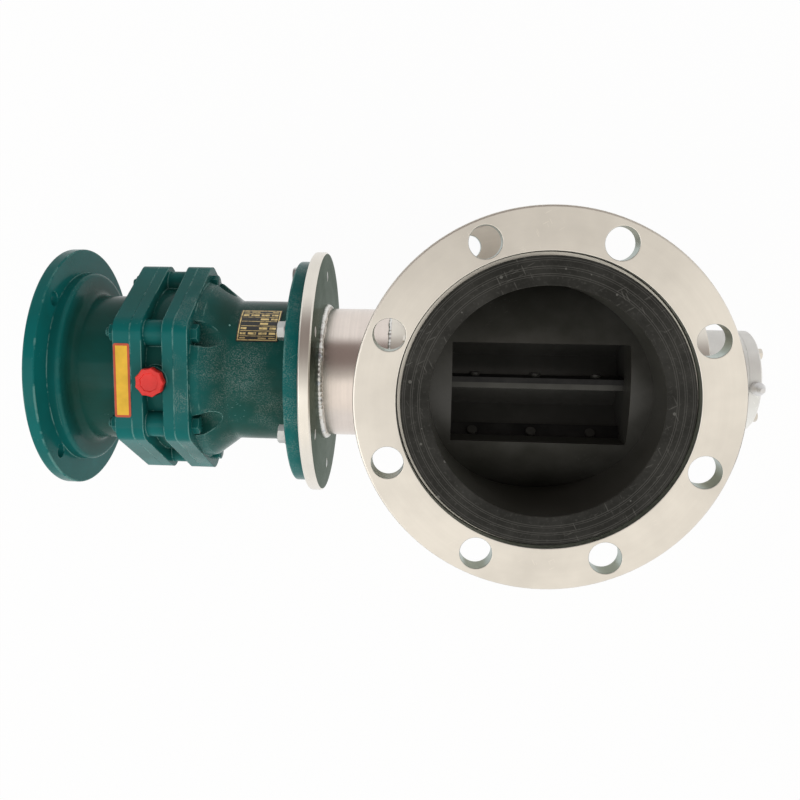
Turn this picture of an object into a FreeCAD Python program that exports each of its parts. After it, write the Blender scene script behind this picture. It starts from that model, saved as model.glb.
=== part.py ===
"""Lined rotary discharge valve with a pin-gear reducer, ready for a flange motor.

Frame: origin at the centre of the outlet flange's face, which the valve stands on.
+Z runs up the product way to the inlet flange, X is the rotor's axis, and the drive is at -X.
Lengths are millimetres and angles are degrees.
"""
import FreeCAD, Part
import math
import os

import Sketcher
from FreeCAD import Placement, Rotation, Vector

doc = FreeCAD.newDocument("discharge_valve")
pieces = {}

# Driving dimensions

SIZES = [
    ("face_to_face", 330, "inlet face to outlet face"),
    ("flange_thick", 18, "thickness of both pipe flanges"),
    ("flange_edge", 1.2, "chamfer on the flange rims"),
    ("flange_hole", 28, "flange bolt hole"),
    ("flange_holes", 8, "holes in each pipe flange"),
    ("flange_rim_web", 6, "metal between the bolt holes and the flange's rim"),
    ("flange_socket_web", 3.5, "metal between the bolt holes and the socket"),
    ("socket_step", 18, "the socket for the lining's collar is this much wider than the neck"),
    ("socket_deep", 10, "depth of that socket"),
    ("collar_gap", 3.5, "play round the lining's collar"),
    ("neck_inset", 0.5, "the neck's radius stops this short of the barrel's ends"),
    ("neck_wall", 6, "wall of the necks"),
    ("neck_lining", 4.5, "lining in the necks"),
    ("floor_thick", 4, "lining over the barrel inside the neck"),
    ("barrel_wall", 14, "steel wall of the rotor barrel"),
    ("barrel_lining", 8.4, "lining inside the rotor barrel"),
    ("port_wide", 91, "product port across the rotor"),
    ("port_land", 6, "rotor end discs to the ends of the port"),
    ("port_lip", 3, "lining on the edge of the port"),
    ("rotor_dia", 190, "outside of the rotor"),
    ("rotor_gap", 0.6, "running gap round the rotor"),
    ("rotor_half", 97, "half the length of the rotor"),
    ("end_gap", 1.5, "running gap at each end of the rotor"),
    ("disc_thick", 12, "end discs of the rotor"),
    ("hub_dia", 76, "rotor hub tube"),
    ("vane_count", 8, "rotor vanes"),
    ("vane_thick", 6, "thickness of a vane"),
    ("vane_turn", 2, "angle of the first vane from upright"),
    ("vane_root", 3, "how far the vanes reach into the hub"),
    ("vane_short", 7, "steel vane ends this far below the tip strip"),
    ("tip_thick", 5, "thickness of a tip strip"),
    ("tip_wide", 28, "width of a tip strip"),
    ("tip_screw_dia", 6, "screws of the tip strips"),
    ("tip_screw_head", 9.6, "heads of those screws"),
    ("tip_screw_in", 17.4, "those screws in from the outside of the rotor"),
    ("tip_screws", 3, "screws in each tip strip"),
    ("gasket_thick", 1, "gaskets under the end covers"),
    ("cover_thick", 8, "bolted rim of the end covers"),
    ("cover_spigot", 11.5, "how far the end covers reach into the barrel"),
    ("cover_bolts", 8, "bolts in each end cover"),
    ("cover_bolt_dia", 8, "end cover bolt"),
    ("cover_bolt_long", 24, "shank of an end cover bolt"),
    ("cover_tap_deep", 20, "tapped holes for those bolts"),
    ("cover_bolt_across", 13, "across flats of an end cover bolt"),
    ("cover_bolt_head", 5.3, "head of an end cover bolt"),
    ("bolt_clearance", 0.3, "radial clearance of bolts in their holes"),
    ("hub_boss_dia", 140, "boss on the drive end cover"),
    ("hub_boss_long", 19, "length of that boss"),
    ("stub_dia", 133, "connecting stubs"),
    ("stub_wall", 6, "wall of the connecting stubs"),
    ("stub_long", 70, "length of the drive stub"),
    ("weld_leg", 5, "fillet weld bead"),
    ("weld_bulge", 0.42, "how full a bead is, as a share of its leg"),
    ("plate_rim", 10, "drive plate beyond the reducer's output flange"),
    ("plate_bore_step", 8, "the plate's bore is this much tighter than the stub's"),
    ("plate_thick", 12, "drive plate thickness"),
    ("plate_edge", 1.5, "chamfer of the drive plate"),
    ("spigot_land", 15, "spigot to the circle of the reducer fixing bolts"),
    ("plate_bolts", 6, "number of reducer fixing bolts"),
    ("drive_bolt_dia", 10, "reducer fixing bolts and case bolts"),
    ("drive_bolt_across", 16, "across flats of those bolts"),
    ("drive_bolt_head", 7, "head of those bolts"),
    ("case_nut_high", 8, "nuts of the case bolts"),
    ("case_bolt_past", 4, "case bolts beyond their nuts"),
    ("washer_dia", 20, "washers of the reducer fixing bolts"),
    ("spigot_dia", 170, "spigot of the reducer in the plate"),
    ("spigot_deep", 4, "depth of that spigot"),
    ("far_plate_dia", 150, "bearing plate at the free end"),
    ("bracket_long", 33, "tube between far cover and bearing plate"),
    ("far_plate_thick", 12, "bearing plate thickness"),
    ("far_housing_wall", 15, "bearing housing at the free end, round its bearing"),
    ("far_housing_long", 44, "length of that housing"),
    ("far_housing_ledge", 4, "ledge behind the bearing in that housing"),
    ("far_bearing_set", 6, "bearing back from the end of that housing"),
    ("far_cap_thick", 12, "end cap of that housing"),
    ("far_cap_edge", 1.5, "chamfer of that cap"),
    ("cap_screws", 4, "number of end cap screws"),
    ("cap_screw_dia", 6, "end cap screw"),
    ("cap_screw_across", 10, "across flats of an end cap screw"),
    ("cap_screw_head", 4, "head of an end cap screw"),
    ("cap_screw_reach", 12, "end cap screws in the housing"),
    ("nipple_dia", 13, "body of the grease nipple"),
    ("nipple_high", 16, "height of the grease nipple"),
    ("nipple_body_high", 6, "height of its body"),
    ("nipple_neck_dia", 6.4, "neck of the grease nipple"),
    ("nipple_head_dia", 7.6, "head of the grease nipple"),
    ("nipple_mouth_dia", 4.8, "mouth of the grease nipple"),
    ("nipple_thread", 7, "thread of the grease nipple"),
    ("nipple_deep", 8, "depth of that thread"),
    ("nipple_seat", 0.6, "depth of the spot face under the nipple"),
    ("retainer_wide", 2, "retaining ring of the far bearing"),
    ("retainer_deep", 1.5, "depth of its groove"),
    ("retainer_high", 2, "retaining ring above the shaft"),
    ("retainer_past", 3, "shaft beyond the retaining ring"),
    ("shaft_dia", 60, "rotor shaft and reducer shaft in their bearings"),
    ("shaft_end_dia", 45, "shaft ends in the coupling"),
    ("far_journal_dia", 50, "rotor shaft at the free end"),
    ("coupling_dia", 80, "coupling sleeve"),
    ("coupling_space", 5, "coupling sleeve to the ends of the stub"),
    ("coupling_gap", 4, "gap between the shaft ends in the coupling"),
    ("key_wide", 14, "coupling key"),
    ("key_high", 9, "coupling key"),
    ("key_long", 24, "coupling key"),
    ("key_set", 2, "keys back from the shaft ends"),
    ("key_sunk", 0.6, "share of a key's height that lies in the shaft"),
    ("shaft_edge", 1.5, "chamfer of the shaft ends"),
    ("shaft_past", 2, "full diameter of a shaft beyond its bearing or seal"),
    ("seal_wide", 8, "lip seals"),
    ("seal_ledge", 6, "ledge in front of a rotor shaft seal"),
    ("shaft_gap", 1, "radial gap of bores that a shaft passes freely"),
    ("end_play", 0.5, "play at each end of pins, rollers and keys"),
    ("seal_dia", 80, "outside of the lip seals on the rotor shaft"),
    ("big_bearing_dia", 110, "bearings on the 60 mm journals"),
    ("big_bearing_wide", 22, "width of those bearings"),
    ("far_bearing_dia", 72, "bearing at the free end"),
    ("far_bearing_wide", 12, "width of that bearing"),
    ("roller_count", 11, "rollers in each bearing"),
    ("roller_share", 0.22, "roller radius as a share of the bearing's section"),
    ("ring_lip", 3, "lips of the outer bearing rings"),
    ("running_fit", 0.03, "radial clearance of running fits"),
    ("reducer_rim", 15, "fixing bolts to the rim of the reducer's output flange"),
    ("output_flange_thick", 15, "output flange of the reducer"),
    ("output_neck_wall", 18, "barrel of the output housing, round its bearings"),
    ("output_neck_long", 64, "length of that barrel"),
    ("dome_long", 23, "shoulder between barrel and case rim"),
    ("step_long", 8, "step of the shoulder behind the bolt heads"),
    ("dome_lip", 1, "shoulder beyond the circle of case bolts"),
    ("dome_draft", 2, "draft of the shoulder's step"),
    ("bearing_ledge", 4, "ledge between the two output bearings"),
    ("bearing_set", 5, "outer output bearing back from the flange's back face"),
    ("shaft_collar", 5, "collar of the reducer shaft at its inner bearing"),
    ("cast_round", 7, "fillets in the corners of the castings"),
    ("cast_edge", 1.5, "rounding of the rims of the castings"),
    ("case_rim", 14, "bolted rim of the output housing"),
    ("case_bolt_step", 14, "circle of ring pins to circle of case bolts"),
    ("case_bolts", 6, "number of case bolts"),
    ("case_corner", 18, "corner radius of the case outline"),
    ("ring_wide", 42, "width of the pin ring"),
    ("ring_rim", 11, "bolted rims of the pin ring"),
    ("drum_wall", 10, "circle of ring pins to the outside of the pin ring"),
    ("ring_boss", 13, "radius of the bolt bosses between the rims"),
    ("pin_circle", 152, "pitch circle of the ring pins"),
    ("ring_pins", 18, "number of ring pins"),
    ("ring_pin_dia", 10, "ring pin"),
    ("throw", 2, "eccentric throw"),
    ("lobe_gap", 0.2, "running gap between lobes and ring pins"),
    ("disc_wide", 14, "width of a lobed disc"),
    ("disc_space", 4, "space between the two lobed discs"),
    ("disc_set", 3, "lobed discs off the middle of the pin ring"),
    ("output_pin_circle", 94, "output pins"),
    ("output_pins", 8, "number of output pins"),
    ("pin_set", 2, "ends of the output pins in from the pin ring and the carrier"),
    ("output_pin_dia", 12, "output pin"),
    ("output_roller_dia", 16, "roller on an output pin"),
    ("cam_dia", 40, "eccentric"),
    ("cam_roller_dia", 6, "roller between eccentric and disc"),
    ("cam_rollers", 10, "rollers on each eccentric"),
    ("cam_collar", 17, "radius of the collar between the eccentrics"),
    ("carrier_dia", 124, "flange of the reducer shaft"),
    ("carrier_thick", 16, "flange of the reducer shaft"),
    ("carrier_gap", 4, "space before and behind that flange"),
    ("carrier_room", 6, "radial room round that flange"),
    ("pilot_bearing_dia", 47, "bearing of the input shaft in the carrier"),
    ("pilot_bearing_wide", 14, "width of that bearing"),
    ("pilot_dia", 20, "input shaft in that bearing"),
    ("input_dia", 28, "input shaft through the eccentrics"),
    ("input_journal_dia", 40, "input shaft in its main bearing"),
    ("input_bearing_dia", 80, "main bearing of the input shaft"),
    ("input_bearing_wide", 18, "width of that bearing"),
    ("cam_key_wide", 8, "key of the eccentrics"),
    ("cam_key_high", 7, "key of the eccentrics"),
    ("socket_end_dia", 45, "hollow end of the input shaft"),
    ("socket_set", 6, "that end back from the motor's face"),
    ("input_seal_high", 9, "section of the seal on that end"),
    ("input_seal_gap", 2, "main bearing to that seal"),
    ("input_seal_boss", 6, "boss beyond that seal"),
    ("motor_shaft_dia", 28, "bore for the motor shaft"),
    ("motor_shaft_long", 60, "depth of that bore"),
    ("motor_key_wide", 8, "keyway for the motor shaft"),
    ("motor_key_deep", 3.3, "depth of that keyway in the bore"),
    ("cover_rim", 17, "bolted rim of the motor adapter"),
    ("adapter_neck_dia", 152, "neck of the motor adapter"),
    ("adapter_neck_long", 53, "length of that neck"),
    ("adapter_wall", 12, "wall of that neck"),
    ("bell_long", 12, "shoulder between neck and motor flange"),
    ("bell_round", 8, "fillet between neck and shoulder"),
    ("bell_edge", 4, "rounding of the shoulder"),
    ("bell_room", 0.25, "shoulder to the motor bolt holes"),
    ("motor_rim", 17.5, "motor bolts to the rim of the motor flange"),
    ("motor_flange_thick", 12, "motor flange"),
    ("motor_land", 17.5, "spigot recess to the circle of motor bolts"),
    ("motor_bolts", 4, "number of motor bolts"),
    ("motor_hole", 14.5, "motor bolt hole"),
    ("motor_spigot_dia", 180, "recess for the motor's spigot"),
    ("motor_spigot_deep", 5, "depth of that recess"),
    ("motor_mouth", 8, "recess to the mouth of the adapter's hollow"),
    ("plug_dia", 28.6, "oil filler plug"),
    ("plug_high", 7, "head of the oil filler plug"),
    ("plug_flutes", 8, "flutes of the oil filler plug"),
    ("flute_radius", 4.5, "radius of a flute"),
    ("flute_deep", 1.9, "depth of a flute"),
    ("drain_dia", 26, "across corners of the oil drain plug"),
    ("plug_reach", 16, "thread length of the oil plugs"),
    ("plug_thread", 20, "thread of the oil plugs"),
    ("plug_boss", 14.5, "radius of the bosses for the oil plugs"),
    ("plug_stand", 0.5, "those bosses above the flats of the case"),
    ("washer_thick", 2, "sealing rings of the oil plugs and bolt washers"),
    ("nameplate_set", 8, "nameplate in from the end of the barrel"),
    ("nameplate_long", 42, "bare nameplate along the barrel"),
    ("nameplate_from", 22, "lower edge of the nameplate, degrees from upright"),
    ("nameplate_arc", 33, "arc of the nameplate in degrees"),
    ("label_set", 0.5, "label in from the edges of the case rim"),
    ("plate_foil", 0.8, "thickness of nameplate and label"),
    ("label_long", 72, "bare label on the case rim"),
]

# Stations along the rotor axis and other sizes that follow from the driving ones

STATIONS = [
    ("axis_high", "dim.face_to_face / 2"),
    ("lining_bore", "dim.rotor_dia + 2 * dim.rotor_gap"),
    ("barrel_bore", "at.lining_bore + 2 * dim.barrel_lining"),
    ("barrel_dia", "at.barrel_bore + 2 * dim.barrel_wall"),
    ("cover_bolt_circle", "at.barrel_dia - dim.barrel_wall"),
    ("cover_inner", "dim.rotor_half + dim.end_gap"),
    ("barrel_half", "at.cover_inner + dim.cover_spigot"),
    ("port_long", "2 * (dim.rotor_half - dim.disc_thick - dim.port_land)"),
    ("neck_dia", "2 * (at.barrel_half - dim.neck_inset)"),
    ("throat_dia", "at.neck_dia - 2 * (dim.neck_wall + dim.neck_lining)"),
    ("socket_dia", "at.neck_dia + 2 * dim.socket_step"),
    ("collar_dia", "at.socket_dia - 2 * dim.collar_gap"),
    ("flange_circle", "at.socket_dia + 2 * dim.flange_socket_web + dim.flange_hole"),
    ("flange_dia", "at.flange_circle + dim.flange_hole + 2 * dim.flange_rim_web"),
    ("cover_seat", "at.barrel_half + dim.gasket_thick"),
    ("cover_face", "at.cover_seat + dim.cover_thick"),
    ("boss_end", "at.cover_face + dim.hub_boss_long"),
    ("plate_reach", "at.boss_end + dim.stub_long"),
    ("plate_back", "at.plate_reach + dim.plate_thick"),
    ("output_neck_dia", "dim.big_bearing_dia + 2 * dim.output_neck_wall"),
    ("plate_bolt_circle", "dim.spigot_dia + 2 * dim.spigot_land"),
    ("output_flange_dia", "at.plate_bolt_circle + 2 * dim.reducer_rim"),
    ("plate_dia", "at.output_flange_dia + 2 * dim.plate_rim"),
    ("flange_back", "at.plate_back + dim.output_flange_thick"),
    ("neck_end", "at.flange_back + dim.output_neck_long"),
    ("rim_front", "at.neck_end + dim.dome_long + dim.step_long"),
    ("ring_front", "at.rim_front + dim.case_rim"),
    ("ring_back", "at.ring_front + dim.ring_wide"),
    ("ring_drum_dia", "dim.pin_circle + 2 * dim.drum_wall"),
    ("case_bolt_circle", "dim.pin_circle + 2 * dim.case_bolt_step"),
    ("dome_dia", "at.case_bolt_circle + 2 * dim.dome_lip"),
    ("cover_rim_back", "at.ring_back + dim.cover_rim"),
    ("bell_start", "at.cover_rim_back + dim.adapter_neck_long"),
    ("motor_front", "at.bell_start + dim.bell_long"),
    ("motor_circle", "dim.motor_spigot_dia + 2 * dim.motor_land"),
    ("motor_flange_dia", "at.motor_circle + 2 * dim.motor_rim"),
    ("bell_dia", "at.motor_circle - dim.motor_hole - 2 * dim.bell_room"),
    ("motor_face", "at.motor_front + dim.motor_flange_thick"),
    ("disc_pair", "2 * dim.disc_wide + dim.disc_space"),
    ("disc_b_front", "at.ring_front + (dim.ring_wide - at.disc_pair) / 2 - dim.disc_set"),
    ("disc_a_front", "at.disc_b_front + dim.disc_wide + dim.disc_space"),
    ("cam_key_end", "at.disc_a_front + dim.disc_wide - 2 * dim.end_play"),
    ("cam_key_long", "at.disc_pair - 4 * dim.end_play"),
    ("carrier_back", "at.ring_front - dim.carrier_gap"),
    ("carrier_front", "at.carrier_back - dim.carrier_thick"),
    ("inner_bearing", "at.carrier_front - dim.carrier_gap - dim.big_bearing_wide"),
    ("outer_bearing", "at.flange_back + dim.bearing_set"),
    ("input_seat_end", "at.ring_back + dim.input_bearing_wide"),
    ("input_seal_end", "at.input_seat_end + dim.input_seal_gap + dim.seal_wide"),
    ("coupling_long", "dim.stub_long - 2 * dim.coupling_space"),
    ("coupling_end", "at.plate_reach - dim.coupling_space"),
    ("coupling_mid", "at.coupling_end - at.coupling_long / 2"),
    ("far_housing_dia", "dim.far_bearing_dia + 2 * dim.far_housing_wall"),
    ("cap_screw_circle", "dim.far_bearing_dia + dim.far_housing_wall"),
    ("far_plate_in", "at.cover_face + dim.bracket_long"),
    ("far_plate_reach", "at.far_plate_in + dim.far_plate_thick"),
    ("far_housing_end", "at.far_plate_reach + dim.far_housing_long"),
    ("far_cap_end", "at.far_housing_end + dim.far_cap_thick"),
    ("far_bearing", "at.far_housing_end - dim.far_bearing_wide - dim.far_bearing_set"),
    ("bore_r", "dim.motor_shaft_dia / 2"),
    ("case_flat", "at.case_bolt_circle / 2 * cos(180 / dim.case_bolts) + dim.case_corner"),
    ("plug_seat", "at.case_flat + dim.plug_stand"),
    ("plug_along", "at.ring_front + dim.ring_wide / 2"),
]


def fill_sheet(name, rows, prefix):
    """One sheet: the name of each size, its value or formula under that alias, and a note."""
    sheet = doc.addObject("Spreadsheet::Sheet", name)
    for number, row in enumerate(rows, 1):
        sheet.set(f"A{number}", row[0])
        sheet.set(f"B{number}", prefix + str(row[1]))
        sheet.setAlias(f"B{number}", row[0])
        sheet.set(f"C{number}", row[2] if len(row) > 2 else "worked out")
    doc.recompute()
    return sheet


dim = fill_sheet("dim", SIZES, "")
at = fill_sheet("at", [(alias, formula.replace("at.", "")) for alias, formula in STATIONS], "=")


def value(expression):
    """The number that an expression on the sheets gives now."""
    return float(dim.evalExpression(expression))


# Building blocks

SAME_PLACE = 0.01
ABOUT_X = Rotation(Vector(0, 1, 0), 90)
PLANE_NORMALS = {"YZ_Plane": "X_Axis", "XY_Plane": "Z_Axis", "XZ_Plane": "Y_Axis"}


def new_body(name, height="at.axis_high"):
    """A body whose own origin lies on the rotor axis, or at another height."""
    body = doc.addObject("PartDesign::Body", name)
    body.setExpression("Placement.Base.z", height)
    return body


def origin_item(body, role):
    return next(item for item in body.Origin.OriginFeatures if item.Role == role)


def new_sketch(body, plane, offset=None):
    sketch = body.newObject("Sketcher::SketchObject", body.Name + "_outline")
    sketch.AttachmentSupport = (origin_item(body, plane), [""])
    sketch.MapMode = "FlatFace"
    if offset:
        sketch.setExpression("AttachmentOffset.Base.z", offset)
    return sketch


def place_point(sketch, geometry, point, across, up):
    """Ties one point of a sketch to two expressions, measured from the sketch's origin."""
    for kind, expression in (("DistanceX", across), ("DistanceY", up)):
        number = sketch.addConstraint(
            Sketcher.Constraint(kind, -1, 1, geometry, point, value(expression)))
        sketch.setExpression(f"Constraints[{number}]", expression)


def draw_outline(sketch, corners):
    """A closed outline of straight lines through corners given as pairs of expressions."""
    spots = [Vector(value(across), value(up), 0) for across, up in corners]
    count = len(spots)
    for number in range(count):
        sketch.addGeometry(Part.LineSegment(spots[number], spots[(number + 1) % count]))
    for number in range(count):
        sketch.addConstraint(Sketcher.Constraint("Coincident", number, 2, (number + 1) % count, 1))
    for number, (across, up) in enumerate(corners):
        place_point(sketch, number, 1, across, up)


def draw_circle(sketch, radius, across="0", up="0"):
    centre = Vector(value(across), value(up), 0)
    number = sketch.addGeometry(Part.Circle(centre, Vector(0, 0, 1), value(radius)))
    row = sketch.addConstraint(Sketcher.Constraint("Radius", number, value(radius)))
    sketch.setExpression(f"Constraints[{row}]", radius)
    place_point(sketch, number, 3, across, up)


def draw_case_outline(sketch):
    """The rounded case outline: an arc round each case bolt, joined by tangent lines."""
    count = int(value("dim.case_bolts"))
    corner = value("dim.case_corner")
    reach = value("at.case_bolt_circle / 2")
    half = math.pi / count
    centres = []
    for number in range(count):
        angle = 2 * half * number
        spot = Vector(reach * math.cos(angle), reach * math.sin(angle), 0)
        centres.append((angle, spot))
        circle = Part.Circle(spot, Vector(0, 0, 1), corner)
        sketch.addGeometry(Part.ArcOfCircle(circle, angle - half, angle + half))
    for number, (angle, spot) in enumerate(centres):
        after = centres[(number + 1) % count][1]
        out = Vector(math.cos(angle + half), math.sin(angle + half), 0) * corner
        sketch.addGeometry(Part.LineSegment(spot + out, after + out))
    for number in range(count):
        line = count + number
        sketch.addConstraint(Sketcher.Constraint("Tangent", number, 2, line, 1))
        sketch.addConstraint(Sketcher.Constraint("Tangent", line, 2, (number + 1) % count, 1))
    row = sketch.addConstraint(Sketcher.Constraint("Radius", 0, corner))
    sketch.setExpression(f"Constraints[{row}]", "dim.case_corner")
    for number in range(count):
        turn = f"{number} * 360 / dim.case_bolts"
        place_point(sketch, number, 3, f"at.case_bolt_circle / 2 * cos({turn})",
                    f"at.case_bolt_circle / 2 * sin({turn})")
        if number:
            sketch.addConstraint(Sketcher.Constraint("Equal", 0, number))


def turn(body, corners, cut=False, upright=False):
    """Turns an outline of (along, radius) pairs about the X axis, or (radius, high) about Z."""
    sketch = new_sketch(body, "XZ_Plane")
    draw_outline(sketch, corners)
    kind = "PartDesign::Groove" if cut else "PartDesign::Revolution"
    feature = body.newObject(kind, body.Name + ("_groove" if cut else "_turned"))
    feature.Profile = sketch
    feature.ReferenceAxis = (sketch, ["V_Axis" if upright else "H_Axis"])
    feature.Angle = 360
    doc.recompute()
    return feature


def pad(body, plane, offset, length, draw):
    """Pads what draw puts on a plane of the body, from offset along the plane's normal."""
    sketch = new_sketch(body, plane, offset)
    draw(sketch)
    feature = body.newObject("PartDesign::Pad", body.Name + "_pad")
    feature.Profile = sketch
    feature.setExpression("Length", length)
    doc.recompute()
    return feature


def pocket(body, plane, offset, length, draw):
    """Cuts what draw puts on a plane, from offset along the plane's normal for a length."""
    sketch = new_sketch(body, plane, offset)
    draw(sketch)
    feature = body.newObject("PartDesign::Pocket", body.Name + "_pocket")
    feature.Profile = sketch
    feature.Reversed = True
    feature.setExpression("Length", length)
    before = body.Tip.Shape.Volume if body.Tip and not body.Tip.Shape.isNull() else 0
    doc.recompute()
    if before and feature.Shape.Volume >= before:
        raise RuntimeError(f"{feature.Label} cuts nothing")
    return feature


def pattern(body, feature, role, count):
    """Repeats a feature evenly round one of the body's axes."""
    polar = body.newObject("PartDesign::PolarPattern", body.Name + "_pattern")
    polar.Originals = [feature]
    polar.Axis = (origin_item(body, role), [""])
    polar.Angle = 360
    polar.setExpression("Occurrences", count)
    body.Tip = polar
    doc.recompute()
    return polar


def holes(body, plane, offset, length, radius, circle, count, first="0"):
    """A circle of equal holes; first is the angle of the first hole on the plane."""
    def one_hole(sketch):
        draw_circle(sketch, radius, f"{circle} / 2 * cos({first})", f"{circle} / 2 * sin({first})")
    feature = pocket(body, plane, offset, length, one_hole)
    return pattern(body, feature, PLANE_NORMALS[plane], count)


def dress(body, kind, size, wanted):
    """Fillets or chamfers the edges of the body's last feature that wanted accepts."""
    base = body.Tip
    names = [f"Edge{number}" for number, edge in enumerate(base.Shape.Edges, 1) if wanted(edge)]
    feature = body.newObject("PartDesign::" + kind, body.Name + "_" + kind.lower())
    feature.Base = (base, names)
    feature.setExpression("Size" if kind == "Chamfer" else "Radius", size)
    doc.recompute()
    return feature


def round_edge(radius, along):
    """Accepts the round edge about X of this radius at this station, both expressions."""
    def wanted(edge):
        curve = edge.Curve
        if not isinstance(curve, Part.Circle) or abs(curve.Axis.x) < 0.99:
            return False
        off_axis = math.hypot(curve.Center.y, curve.Center.z)
        off_size = abs(curve.Radius - value(radius))
        off_place = abs(curve.Center.x - value(along))
        return max(off_axis, off_size, off_place) < SAME_PLACE
    return wanted


def any_rim(*tests):
    """Accepts an edge that any of the tests accepts."""
    return lambda edge: any(test(edge) for test in tests)


def rod(name, radius, length, along, height="at.axis_high", sideways="0"):
    """A cylinder along X from station along."""
    item = doc.addObject("Part::Cylinder", name)
    item.Placement = Placement(Vector(), ABOUT_X)
    for key, expression in (("Radius", radius), ("Height", length), ("Placement.Base.x", along),
                            ("Placement.Base.y", sideways), ("Placement.Base.z", height)):
        item.setExpression(key, expression)
    return item


def post(name, radius, length, foot, along="0", sideways="0"):
    """A cylinder along Z that starts at height foot."""
    item = doc.addObject("Part::Cylinder", name)
    for key, expression in (("Radius", radius), ("Height", length), ("Placement.Base.x", along),
                            ("Placement.Base.y", sideways), ("Placement.Base.z", foot)):
        item.setExpression(key, expression)
    return item


def block(name, lengths, corner):
    """A box of three lengths with its lowest corner at corner, all expressions."""
    item = doc.addObject("Part::Box", name)
    for key, expression in zip(("Length", "Width", "Height"), lengths):
        item.setExpression(key, expression)
    for key, expression in zip("xyz", corner):
        item.setExpression("Placement.Base." + key, expression)
    return item


def cut(name, base, tool):
    item = doc.addObject("Part::Cut", name)
    item.Base = base
    item.Tool = tool
    return item


def fuse(name, *parts):
    item = doc.addObject("Part::MultiFuse", name)
    item.Shapes = list(parts)
    return item


def keep(node, item):
    """Names a finished sub-part: its label is the name of its node."""
    item.Label = node
    pieces[node] = item
    return item


def group(node, shapes):
    """Identical or matching loose solids that share one node."""
    item = doc.addObject("Part::Feature", node)
    item.Shape = Part.makeCompound(shapes)
    return keep(node, item)


def round_axis(shape, count, first=0, about=Vector(1, 0, 0), height=None):
    """Copies of a shape, evenly spaced round the rotor axis or a parallel one."""
    centre = Vector(0, 0, value("at.axis_high") if height is None else height)
    copies = []
    for number in range(int(count)):
        copy = shape.copy()
        copy.rotate(centre, about, first + 360 * number / int(count))
        copies.append(copy)
    return copies


def hex_prism(name, across, high, along, reach):
    """A hexagon prism along X from station along, at a distance above the rotor axis."""
    prism = doc.addObject("Part::Prism", name)
    prism.Polygon = 6
    prism.Placement = Placement(Vector(), ABOUT_X)
    for key, expression in (("Circumradius", f"({across}) / sqrt(3)"), ("Height", high),
                            ("Placement.Base.x", along),
                            ("Placement.Base.z", f"at.axis_high + {reach}")):
        prism.setExpression(key, expression)
    return prism


def hex_bolt(name, across, head, dia, shank, along, reach, towards=1):
    """A hexagon bolt along X: its head ends at station along and its shank points to towards."""
    head_from = f"({along}) - ({head})" if towards > 0 else along
    shank_from = along if towards > 0 else f"({along}) - ({shank})"
    bolt = fuse(name + "_master", hex_prism(name + "_head", across, head, head_from, reach),
                rod(name + "_shank", f"({dia}) / 2", shank, shank_from, f"at.axis_high + {reach}"))
    doc.recompute()
    return bolt.Shape


def thin_ring(name, outer, inner, length, along):
    """A plain ring about the rotor axis."""
    ring = cut(name, rod(name + "_outer", outer, length, along),
               rod(name + "_inner", inner, length, along))
    doc.recompute()
    return ring


def bearing(bore, outside, width, along):
    """Shapes of one cylindrical roller bearing: outer ring with lips, inner ring and rollers."""
    low, high = value(bore) / 2, value(outside) / 2
    wide, lip, fit = value(width), value("dim.ring_lip"), value("dim.running_fit")
    roller = (high - low) * value("dim.roller_share")
    middle = (high + low) / 2
    axis = Vector(1, 0, 0)

    def tube(outer, inner, start, length):
        spot = Vector(value(along) + start, 0, value("at.axis_high"))
        return Part.makeCylinder(outer, length, spot, axis).cut(
            Part.makeCylinder(inner, length, spot, axis))
    outer_ring = tube(high, middle + roller / 3, 0, wide)
    outer_ring = outer_ring.cut(tube(middle + roller + fit, middle, lip, wide - 2 * lip))
    inner_ring = tube(middle - roller - fit, low, 0, wide)
    spot = Vector(value(along) + lip + fit, 0, value("at.axis_high") + middle)
    one = Part.makeCylinder(roller, wide - 2 * lip - 2 * fit, spot, axis)
    return outer_ring, inner_ring, round_axis(one, value("dim.roller_count"))


# Valve body


def make_flange(node, foot, socket_up):
    """A ring flange with a socket for the lining's collar and a circle of bolt holes."""
    body = new_body(node, foot)
    outer, bore, socket = "at.flange_dia / 2", "at.neck_dia / 2", "at.socket_dia / 2"
    thick, deep, edge = "dim.flange_thick", "dim.socket_deep", "dim.flange_edge"
    low, high = ("0", thick) if socket_up else (thick, "0")
    ledge = f"{thick} - {deep}" if socket_up else deep
    inward = "-" if socket_up else "+"
    outward = "+" if socket_up else "-"
    turn(body, [(bore, low), (f"{outer} - {edge}", low), (outer, f"{low} {outward} {edge}"),
                (outer, f"{high} {inward} {edge}"), (f"{outer} - {edge}", high),
                (socket, high), (socket, ledge), (bore, ledge)], upright=True)
    holes(body, "XY_Plane", "0", thick, "dim.flange_hole / 2", "at.flange_circle",
          "dim.flange_holes", "180 / dim.flange_holes")
    return keep(node, body)


def make_barrel():
    """The rotor barrel with both ports and the tapped holes for the cover bolts."""
    outside = rod("barrel_outside", "at.barrel_dia / 2", "2 * at.barrel_half", "-at.barrel_half")
    bore = rod("barrel_inside", "at.barrel_bore / 2", "2 * at.barrel_half", "-at.barrel_half")
    hollow = fuse("barrel_hollow", bore, make_port("barrel_port", "dim.port_lip"))
    drill = rod("cover_tapping", "dim.cover_bolt_dia / 2", "dim.cover_tap_deep",
                "at.barrel_half - dim.cover_tap_deep", "at.axis_high + at.cover_bolt_circle / 2")
    doc.recompute()
    first, count = 180 / value("dim.cover_bolts"), value("dim.cover_bolts")
    tapping = doc.addObject("Part::Feature", "cover_tappings")
    tapping.Shape = Part.makeCompound(round_axis(drill.Shape, count, first)
                                      + round_axis(other_end(drill.Shape), count, first))
    keep("rotor_barrel", cut("rotor_barrel", cut("barrel_tube", outside, hollow), tapping))


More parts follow.
